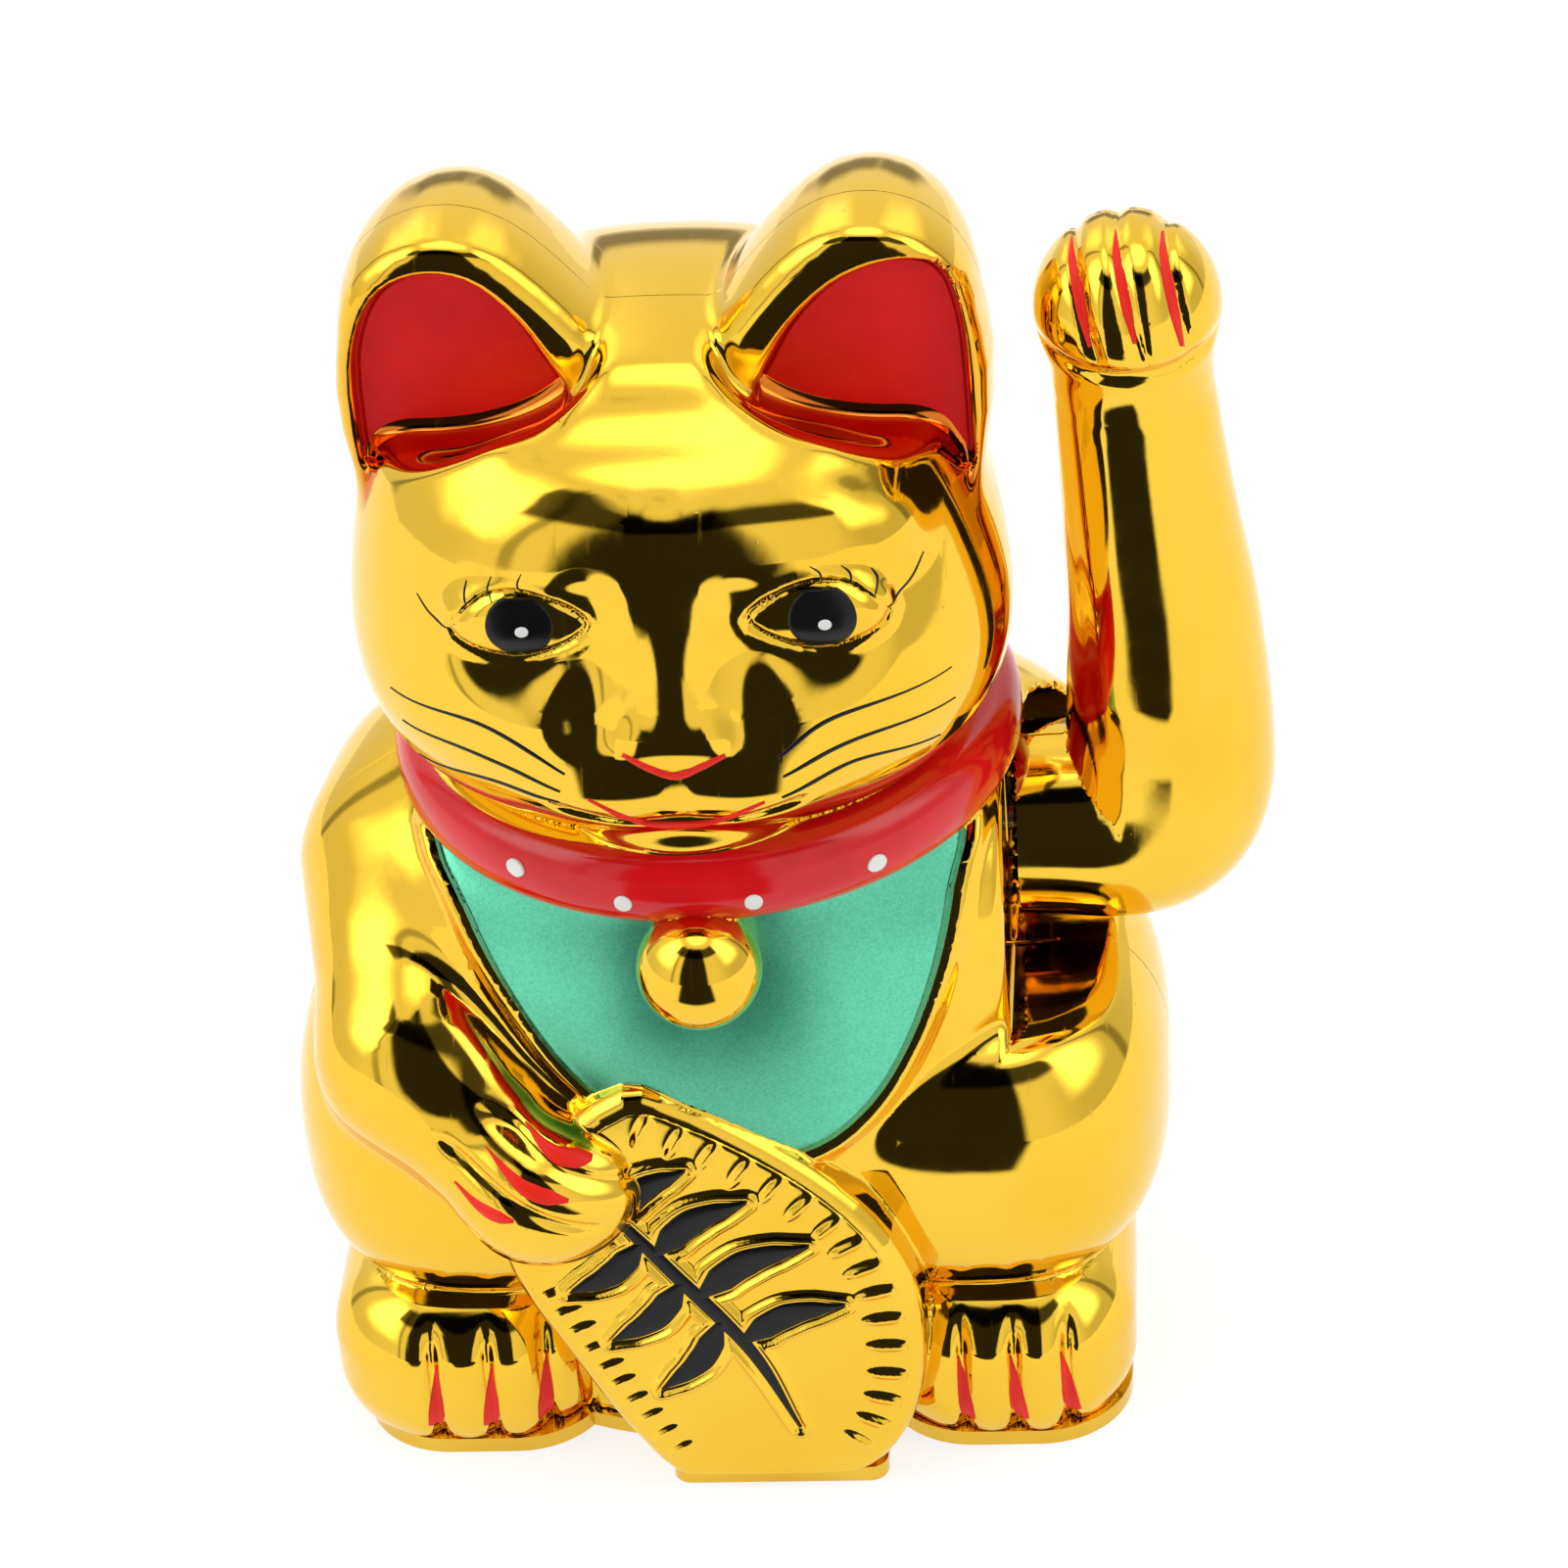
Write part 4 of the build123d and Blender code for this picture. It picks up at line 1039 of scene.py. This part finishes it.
FACE_BOXES = [((-29, -60, 84), (29, -22, 121)), ((-50, -60, 2), (-18, -24, 16)), ((18, -60, 2), (46, -24, 16)),
              ((-32, -60, 36), (-6, -30, 58)), ((-37, -60, 118), (37, -10.5, 150)),
              ((10, -60, 2), (27, -28, 58)), ((30, -40, 46), (44, -6, 88))]
front, P = skin("front_skin", front_f, (-53, -47, 0.5), (53, -5.5, 153), 0.68 * K, 0.36, M_gold, "root",
                cat_outer, (SEAM - 0.05, -1), FACE_BOXES)
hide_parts("front_shell")
# red paint mist that drifted past the edge of each painted ear
P = co_of(front.data)
de = np.minimum(poly2(P[:, 0], P[:, 2], EAR_RED_L), poly2(P[:, 0], P[:, 2], EAR_RED_R))
mist = np.exp(-np.clip(de - 0.1, 0, 40) / 0.6) * (P[:, 1] < -11) * (P[:, 1] > -16.2) * (P[:, 2] > 118) * 0.7
spray(front, P, mist, 0 * mist)

rear, P = skin("rear_skin", rear_f, (-53, -7.5, 0.5), (53, 41, 153), 0.85 * K, 0.55, M_gold, "root",
               cat_outer, (SEAM + 0.05, 1))
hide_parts("rear_shell")

for nm, side, y0, y1 in (("front", -1, -18, PIV[1] + 0.5), ("rear", 1, PIV[1] - 0.5, 12)):
    a, P = skin("arm_%s_skin" % nm, lambda p, side=side: arm_f(p, side), (33.5, y0, 53), (65, y1, 147), 0.58 * K, 0.62,
                M_gold, "waving_arm", arm_outer)
    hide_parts("arm_%s_shell" % nm)


# =====================================================================
#  5.  Paint, enamel and trim
# =====================================================================
def xz(pts, y=-60.0):
    return [(x, y, z) for x, z in pts]


DOWN_Y = (0, 1, 0)

# red inside the ears
for nm, oo, c in (("left", EAR_RED_L, (-25.0, 132.0)), ("right", EAR_RED_R, (23.6, 132.0))):
    pl = Pile()
    c = np.array(c)
    O = resample(oo, 170)
    O = c + (O - c) * 0.99
    patch(pl, ears, O, DOWN_Y, lift=0.14, depth=0.3, centre=c, rings=26)
    pl.make("ear_red_" + nm, M_red)

# bib
pl = Pile()
O = resample(BIB, 260)
c = np.array([0.5, 66.0])
O = c + (O - c) * 0.968
patch(pl, chest, O, DOWN_Y, lift=0.14, depth=0.3, centre=c, rings=60)
pl.make("bib_green", M_green)

# collar band
n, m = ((260, 40))
V = []
for i in range(n):
    a = 2 * math.pi * i / n
    for j in range(m):
        t = 2 * math.pi * j / m
        ct, st = math.cos(t), math.sin(t)
        q = 2.35
        k = (abs(ct) ** q + abs(st) ** q) ** (-1 / q)
        rr_ = 31.35 + 4.05 * k * ct + 0.10 * math.sin(3 * a + 1.1)
        zz = 82.0 + 4.75 * k * st + 0.15 * math.sin(2 * a)
        V.append((rr_ * math.sin(a), -3 - rr_ * math.cos(a), zz))
F = [[i * m + j, i * m + (j + 1) % m, ((i + 1) % n) * m + (j + 1) % m, ((i + 1) % n) * m + j] for i in range(n) for j in range(m)]
pl = Pile()
pl.add(V, F)
pl.make("collar_band", M_collar)


def band(p):
    k = np.sqrt(p[0] ** 2 + (p[1] + 3.0) ** 2)
    a = np.abs((k - 31.35) / 4.05) ** 2.35 + np.abs((p[2] - 82.0) / 4.75) ** 2.35 + 1e-9
    return (a ** (1 / 2.35) - 1) * 4.1


# white dots on the collar
pl = Pile()
for x, z in ((-19.0, 82.8), (-7.0, 81.2), (7.1, 81.0), (20.2, 81.8)):
    O = [(x + 1.0 * math.cos(t), z + 1.05 * math.sin(t)) for t in np.linspace(0, 2 * math.pi, 28, endpoint=False)]
    patch(pl, band, O, DOWN_Y, lift=0.22, depth=0.4, rings=5)
pl.make("collar_dots", M_white)

# eyes: iris discs that the lids cut off at the top and bottom, and a painted highlight: a small white glint patch on
# each iris
pl, gl = Pile(), Pile()
for cx, cz, top, bot in ((-15.3, 115.1, 118.4, 111.75), (16.6, 115.0, 118.3, 111.6)):
    O = []
    for t in np.linspace(0, 2 * math.pi, 72, endpoint=False):
        x, z = 3.6 * math.cos(t), 3.65 * math.sin(t)
        O.append((cx + x, min(max(cz + z, bot + 0.012 * x * x), top - 0.012 * x * x)))
    patch(pl, cat_outer, O, DOWN_Y, lift=0.10, depth=0.3, centre=(cx, cz), rings=10)
    # painted highlight: a white glint patch laid on the iris
    O = [(cx + 0.25 + 0.72 * math.cos(t), cz - 0.35 + 0.62 * math.sin(t)) for t in np.linspace(0, 2 * math.pi, 24, endpoint=False)]
    patch(gl, cat_outer, O, DOWN_Y, lift=0.22, depth=0.3, rings=4)
pl.make("irises", M_black)
gl.make("eye_glints", M_white)

# lashes and whiskers
pl = Pile()
for pts in ([(-20.7, 119.5), (-21.0, 118.2), (-20.8, 116.9)], [(-17.9, 120.5), (-18.4, 119.1), (-18.0, 117.8)], [(-14.6, 121.2), (-15.1, 120.0), (-14.7, 118.8)],
            [(15.6, 120.9), (16.6, 120.0), (16.7, 118.8)], [(18.8, 120.3), (19.7, 119.3), (19.7, 118.0)], [(21.8, 119.0), (22.4, 117.8), (22.1, 116.5)]):
    ribbon(pl, cat_outer, xz(pts), [0.10, 0.20, 0.24, 0.10], DOWN_Y, n=14)
for pts in ([(-26.7, 116.0), (-25.2, 114.6), (-22.9, 113.9)], [(27.0, 117.4), (25.6, 115.6), (23.3, 114.5)]):
    ribbon(pl, cat_outer, xz(pts), [0.08, 0.22, 0.28, 0.10], DOWN_Y, n=16)
for pts in ([(-30.9, 103.8), (-20.4, 104.0), (-11.5, 99.4)], [(-29.9, 100.2), (-22.0, 100.1), (-12.2, 97.2)], [(-28.9, 94.6), (-21.4, 96.3), (-12.5, 95.6)],
            [(29.4, 104.8), (17.4, 104.2), (11.2, 100.6)], [(29.6, 100.9), (19.6, 101.0), (11.6, 98.4)], [(27.8, 96.5), (19.5, 98.1), (11.3, 95.8)]):
    ribbon(pl, cat_outer, xz(pts), [0.10, 0.30, 0.46, 0.54, 0.56, 0.32], DOWN_Y, n=48)
pl.make("lashes_whiskers", M_black)

# red lines under the nose and on the mouth
pl = Pile()
DOWN_F = (-0.08, 0.82, -0.566)
ribbon(pl, cat_outer, [(-5.2, -39.0, 101.5), (-2.6, -39.4, 100.0), (0.3, -39.6, 99.0), (3.1, -39.4, 100.0), (5.7, -39.0, 101.1)], [0.5, 0.75, 0.8, 0.75, 0.5], DOWN_F, n=30, lift=0.16)
ribbon(pl, cat_outer, [(-9.9, -33.5, 92.1), (-5.2, -35.6, 90.7), (-0.7, -36.6, 90.6), (4.2, -35.8, 90.6), (8.9, -33.8, 91.4)], [0.2, 0.6, 0.8, 0.6, 0.2], DOWN_F, n=36, lift=0.18)
pl.make("nose_mouth_red", M_red_line)

# red between the toes, and claws
pl = Pile()
for x, x1 in ((-34.8, -35.8), (-28.4, -29.3), (-22.2, -23.0), (25.6, 26.4), (31.6, 32.6), (37.4, 38.6)):
    ribbon(pl, cat_outer, xz([(x, 13.6), (x * 0.5 + x1 * 0.5, 9.0), (x1, 4.6)]), [0.15, 0.8, 1.35, 1.7, 1.7], DOWN_Y, n=26, lift=0.15)
for (x0, z0), (x1, z1) in CLAWS:
    ribbon(pl, cat_outer, xz([(x0, z0), ((x0 + x1) / 2 - 0.3, (z0 + z1) / 2 - 0.6), (x1, z1)]), [0.12, 0.7, 1.3, 1.7, 1.6, 0.5], DOWN_Y, n=26, lift=0.18)
pl.make("toe_claw_red", M_red_line)

# red lines on the raised paw
pl = Pile()
for x in PAW_X:
    pts = []
    for ph in (14, 28, 42, 56, 70):
        z = 135.3 + 13 * math.sin(math.radians(ph))
        pts.append((x + min(max(145.0 - (z - 1.5), 0), 12) * 0.22, -5.8 - 13 * math.cos(math.radians(ph)), z))
    ribbon(pl, arm_outer, pts, [0.5, 1.1, 1.2, 0.9, 0.25], (0, 0.75, -0.66), n=34, lift=0.16)
pl.make("raised_paw_red", M_red_line, body="waving_arm")

# --- coin face: ribs down both long sides and a raised sprig, filled with enamel
SPRIG = [([(-15.0, 45.5), (-6.0, 33.0), (2.5, 21.0), (7.5, 9.5)], [1.2, 2.2, 2.4, 1.9, 0.8])]
for (bx, bz), (tx, tz), w in (((-11.5, 40.6), (-3.2, 47.0), 3.4), ((-7.5, 35.0), (3.4, 42.4), 3.7), ((-3.0, 28.8), (10.0, 36.0), 3.8), ((1.5, 22.2), (13.6, 27.4), 3.5),
                              ((-12.4, 41.6), (-19.4, 37.2), 3.0), ((-8.8, 36.8), (-17.6, 29.8), 3.4), ((-4.6, 31.0), (-13.2, 22.6), 3.5), ((-0.6, 25.2), (-8.0, 15.4), 3.3)):
    mx_, mz_ = (bx + tx) / 2, (bz + tz) / 2
    ox, oz = -(tz - bz) * 0.10, (tx - bx) * 0.10
    w *= 1.12
    SPRIG.append(([(bx, bz), (mx_ + ox, mz_ + oz), (tx, tz)], [1.2, w, w * 1.02, w * 0.72, 0.6]))
OUT = resample(COIN_S, 480)
dO = np.roll(OUT, -1, 0) - np.roll(OUT, 1, 0)
nO = unit(np.stack([-dO[:, 1], dO[:, 0]], -1))
if (((OUT + nO) - OUT.mean(0)) ** 2).sum() > ((OUT - OUT.mean(0)) ** 2).sum():
    nO = -nO


def coin_relief(x, z):
    z = z / LEAN_Z
    h = np.zeros_like(x)
    dm = np.full_like(x, 99.0)
    for pts, ws in SPRIG:
        c = catmull(pts, 28)
        w = np.interp(np.linspace(0, 1, 28), np.linspace(0, 1, len(ws)), ws)
        for k in range(27):
            a, b = c[k], c[k + 1]
            e = b - a
            t = np.clip(((x - a[0]) * e[0] + (z - a[1]) * e[1]) / (e @ e), 0, 1)
            r = np.sqrt((x - a[0] - t * e[0]) ** 2 + (z - a[1] - t * e[1]) ** 2) - (w[k] + (w[k + 1] - w[k]) * t) / 2
            dm = np.minimum(dm, r)
    h += 0.62 * np.exp(-((dm - 0.62) / 0.42) ** 2)
    for lo, hi, cnt, inset, hl, amp in (((-6.5, 55.6), (17.5, 4.6), 16, 4.3, 2.7, 0.55), ((-9.0, 4.6), (-22.6, 28.0), 10, 3.8, 2.1, 0.40)):
        i0 = int(np.argmin(((OUT - lo) ** 2).sum(1)))
        i1 = int(np.argmin(((OUT - hi) ** 2).sum(1)))
        for k in np.linspace(i0, i1, cnt):
            k = int(round(k)) % len(OUT)
            q = OUT[k] + nO[k] * inset
            u = nO[k]
            s = (x - q[0]) * u[0] + (z - q[1]) * u[1]
            t = -(x - q[0]) * u[1] + (z - q[1]) * u[0]
            wd = 0.28 + 0.34 * np.clip(1 - (s / hl) ** 2, 0, 1)
            h = np.maximum(h, amp * np.exp(-(t / wd) ** 2) * np.clip(1.15 - (s / hl) ** 2, 0, 1))
    return h


def dense_face(name, f, outline, centre, rings, relief, mat):
    O = np.asarray(outline)
    c = np.asarray(centre, float)
    n = len(O)
    r = np.concatenate([np.linspace(0, 1, rings + 1)[1:-1], [0.993, 1.0]])
    prof = np.concatenate([np.ones(len(r) - 1), [0.0]])
    U = np.concatenate([c[None]] + [c + (O - c) * k for k in r])
    lf = np.concatenate([[1.0]] + [np.full(n, k) for k in prof])
    P = trace(f, np.stack([U[:, 0], np.full(len(U), -60.0), U[:, 1]], -1), (0, 1, 0), 40)
    h = relief(U[:, 0], U[:, 1])
    top = P.astype(float)
    top[:, 1] -= (0.06 + h) * lf - 0.05 * (1 - lf)
    bot = P.astype(float)
    bot[:, 1] += 0.4
    m = len(P)
    R = len(r)
    F = []
    for off in (0, m):
        F += [[off, off + 1 + j, off + 1 + (j + 1) % n] for j in range(n)]
        for i in range(R - 1):
            a, b = off + 1 + i * n, off + 1 + (i + 1) * n
            F += [[a + j, b + j, b + (j + 1) % n, a + (j + 1) % n] for j in range(n)]
    a = 1 + (R - 1) * n
    F += [[a + (j + 1) % n, a + j, m + a + j, m + a + (j + 1) % n] for j in range(n)]
    pl = Pile()
    pl.add(np.concatenate([top, bot]), F)
    return pl.make(name, mat)


O = resample(COIN_S, 420) * np.array([1.0, LEAN_Z])
cc = np.array([-1.5, 27.0])
dense_face("coin_face", coin, cc + (O - cc) * 0.915, cc, 84, coin_relief, M_gold2)
pl = Pile()
for pts, ws in SPRIG:
    ribbon(pl, coin, xz([(x, z * LEAN_Z) for x, z in pts]), [max(w - 0.35, 0.25) for w in ws], DOWN_Y, n=30, lift=0.20, depth=0.2)
pl.make("coin_enamel", M_black)


# =====================================================================
#  6.  Studio: white tent, dark gap round the lens, floor
# =====================================================================
w = bpy.data.worlds.new("studio")
bpy.context.scene.world = w
w.use_nodes = True
nt = w.node_tree
nt.nodes.clear()
tc = nd(nt, "ShaderNodeTexCoord")
vn = nd(nt, "ShaderNodeVectorMath", operation="NORMALIZE")
nt.links.new(tc.outputs["Generated"], vn.inputs[0])
sp = nd(nt, "ShaderNodeSeparateXYZ")
nt.links.new(vn.outputs[0], sp.inputs[0])


def mth(op, a, b=None, clamp=False):
    n = nd(nt, "ShaderNodeMath", operation=op, use_clamp=clamp)
    for k, v in enumerate((a, b)):
        if v is None:
            continue
        if hasattr(v, "links") or hasattr(v, "is_output"):
            nt.links.new(v, n.inputs[k])
        else:
            n.inputs[k].default_value = v
    return n.outputs[0]


def smooth(v, a, b):
    n = nd(nt, "ShaderNodeMapRange", interpolation_type="SMOOTHSTEP")
    nt.links.new(v, n.inputs["Value"])
    n.inputs["From Min"].default_value = a
    n.inputs["From Max"].default_value = b
    return n.outputs[0]


az = mth("MULTIPLY", mth("ARCTAN2", sp.outputs[0], mth("MULTIPLY", sp.outputs[1], -1.0)), 180 / math.pi)
el = mth("MULTIPLY", mth("ARCSINE", sp.outputs[2]), 180 / math.pi)


def window(a0, a1, e0, e1, sa, se):
    a = mth("MULTIPLY", smooth(az, a0 - sa, a0 + sa), mth("SUBTRACT", 1.0, smooth(az, a1 - sa, a1 + sa)))
    e = mth("MULTIPLY", smooth(el, e0 - se, e0 + se), mth("SUBTRACT", 1.0, smooth(el, e1 - se, e1 + se)))
    return mth("MULTIPLY", a, e)


# white tent, brighter behind and above, greyer off to the right
level = mth("SUBTRACT", 1.0, mth("MULTIPLY", window(50, 140, -90, 40, 20, 15), 0.28))
level = mth("SUBTRACT", level, mth("MULTIPLY", window(-150, -70, -90, 20, 20, 15), 0.15))
# soft boxes: one overhead, one each side, two behind
level = mth("ADD", level, mth("MULTIPLY", smooth(el, 70, 80), 1.6))
for a0, a1, e0, e1, g in ((-92, -52, 22, 60, 2.2), (60, 96, 22, 60, 1.9), (-165, -125, 28, 56, 0.7), (128, 160, 28, 56, 0.6)):
    level = mth("ADD", level, mth("MULTIPLY", window(a0, a1, e0, e1, 10, 9), g))
# dark gaps: round the lens, between the panels, and low down behind
for a0, a1, e0, e1, g, sa, se in ((-30, 19, -8, 66, 0.975, 2.5, 2.5), (-58, 58, 47, 64, 0.93, 3, 2.5), (-46, -41, -2, 66, 0.5, 1.5, 2.0), (108, 114, -2, 66, 0.6, 1.5, 2), (-118, -112, -2, 66, 0.6, 1.5, 2),
                                  (165, 181, -2, 12, 0.7, 4, 4), (-181, -160, -2, 12, 0.7, 4, 4)):
    level = mth("MULTIPLY", level, mth("SUBTRACT", 1.0, mth("MULTIPLY", window(a0, a1, e0, e1, sa, se), g)))
bg = nd(nt, "ShaderNodeBackground")
nt.links.new(level, bg.inputs["Strength"])
bg.inputs["Color"].default_value = (1.0, 0.995, 0.985, 1)
wo = nd(nt, "ShaderNodeOutputWorld")
nt.links.new(bg.outputs[0], wo.inputs[0])

# floor
me = bpy.data.meshes.new("floor")
bm = bmesh.new()
bmesh.ops.create_grid(bm, x_segments=8, y_segments=8, size=2.0)
bm.to_mesh(me)
bm.free()
fl = bpy.data.objects.new("floor", me)
bpy.context.scene.collection.objects.link(fl)
m, mnt, b = new_mat("floor_white")
b.inputs["Base Color"].default_value = (0.30, 0.30, 0.30, 1)
b.inputs["Roughness"].default_value = 0.8
b.inputs["Specular IOR Level"].default_value = 0.1
b.inputs["Emission Color"].default_value = (1, 1, 1, 1)
b.inputs["Emission Strength"].default_value = 0.78
# the white table ends a hand's breadth in front of the figure, where the room is dark; only
# the figure's own reflections see that edge
nt = mnt
gp = nd(nt, "ShaderNodeNewGeometry")
sx = nd(nt, "ShaderNodeSeparateXYZ")
nt.links.new(gp.outputs["Position"], sx.inputs[0])
far = mth("SUBTRACT", 1.0, smooth(sx.outputs[1], -0.142, -0.122))
bear = mth("MULTIPLY", mth("ARCTAN2", sx.outputs[0], mth("MULTIPLY", sx.outputs[1], -1.0)), 180 / math.pi)
side = mth("MULTIPLY", smooth(bear, -28, -24), mth("SUBTRACT", 1.0, smooth(bear, 19, 24)))
gap = mth("MULTIPLY", far, side)
lp = nd(nt, "ShaderNodeLightPath")
gap = mth("MULTIPLY", gap, mth("SUBTRACT", 1.0, lp.outputs["Is Camera Ray"]))
gap = mth("MULTIPLY", gap, mth("SUBTRACT", 1.0, lp.outputs["Is Diffuse Ray"]))
blk = nd(nt, "ShaderNodeBsdfDiffuse")
blk.inputs[0].default_value = (0.02, 0.02, 0.02, 1)
mx = nd(nt, "ShaderNodeMixShader")
nt.links.new(gap, mx.inputs[0])
nt.links.new(b.outputs[0], mx.inputs[1])
nt.links.new(blk.outputs[0], mx.inputs[2])
# seen from underneath the floor is clear, so that the base can be looked at
clear = nd(nt, "ShaderNodeBsdfTransparent")
mx2 = nd(nt, "ShaderNodeMixShader")
nt.links.new(gp.outputs["Backfacing"], mx2.inputs[0])
nt.links.new(mx.outputs[0], mx2.inputs[1])
nt.links.new(clear.outputs[0], mx2.inputs[2])
nt.links.new(mx2.outputs[0], [n for n in nt.nodes if n.type == "OUTPUT_MATERIAL"][0].inputs[0])
me.materials.append(m)

# camera
AZ, EL, RO, D, FP, TX, TZ = 6.0, 34.5, -4.8, 627.0, 5600.0, 7.5, 70.3
a, e, r = [math.radians(v) for v in (AZ, EL, RO)]
back = np.array([math.sin(a) * math.cos(e), -math.cos(a) * math.cos(e), math.sin(e)])
right = np.array([math.cos(a), math.sin(a), 0])
up = np.cross(back, right)
rr = right * math.cos(r) + up * math.sin(r)
uu = -right * math.sin(r) + up * math.cos(r)
C = (np.array([TX, 0, TZ]) + back * D) * MM
cam = bpy.data.cameras.new("camera")
cam.sensor_width = 36.0
cam.lens = 36.0 * FP / 1601.0
cam.clip_start = 0.05
cam.clip_end = 20
co = bpy.data.objects.new("camera", cam)
bpy.context.scene.collection.objects.link(co)
co.matrix_world = Matrix([[rr[0], uu[0], back[0], C[0]], [rr[1], uu[1], back[1], C[1]], [rr[2], uu[2], back[2], C[2]], [0, 0, 0, 1]])
bpy.context.scene.camera = co
bpy.context.scene.view_settings.view_transform = "Standard"
bpy.context.scene.view_settings.look = "None"
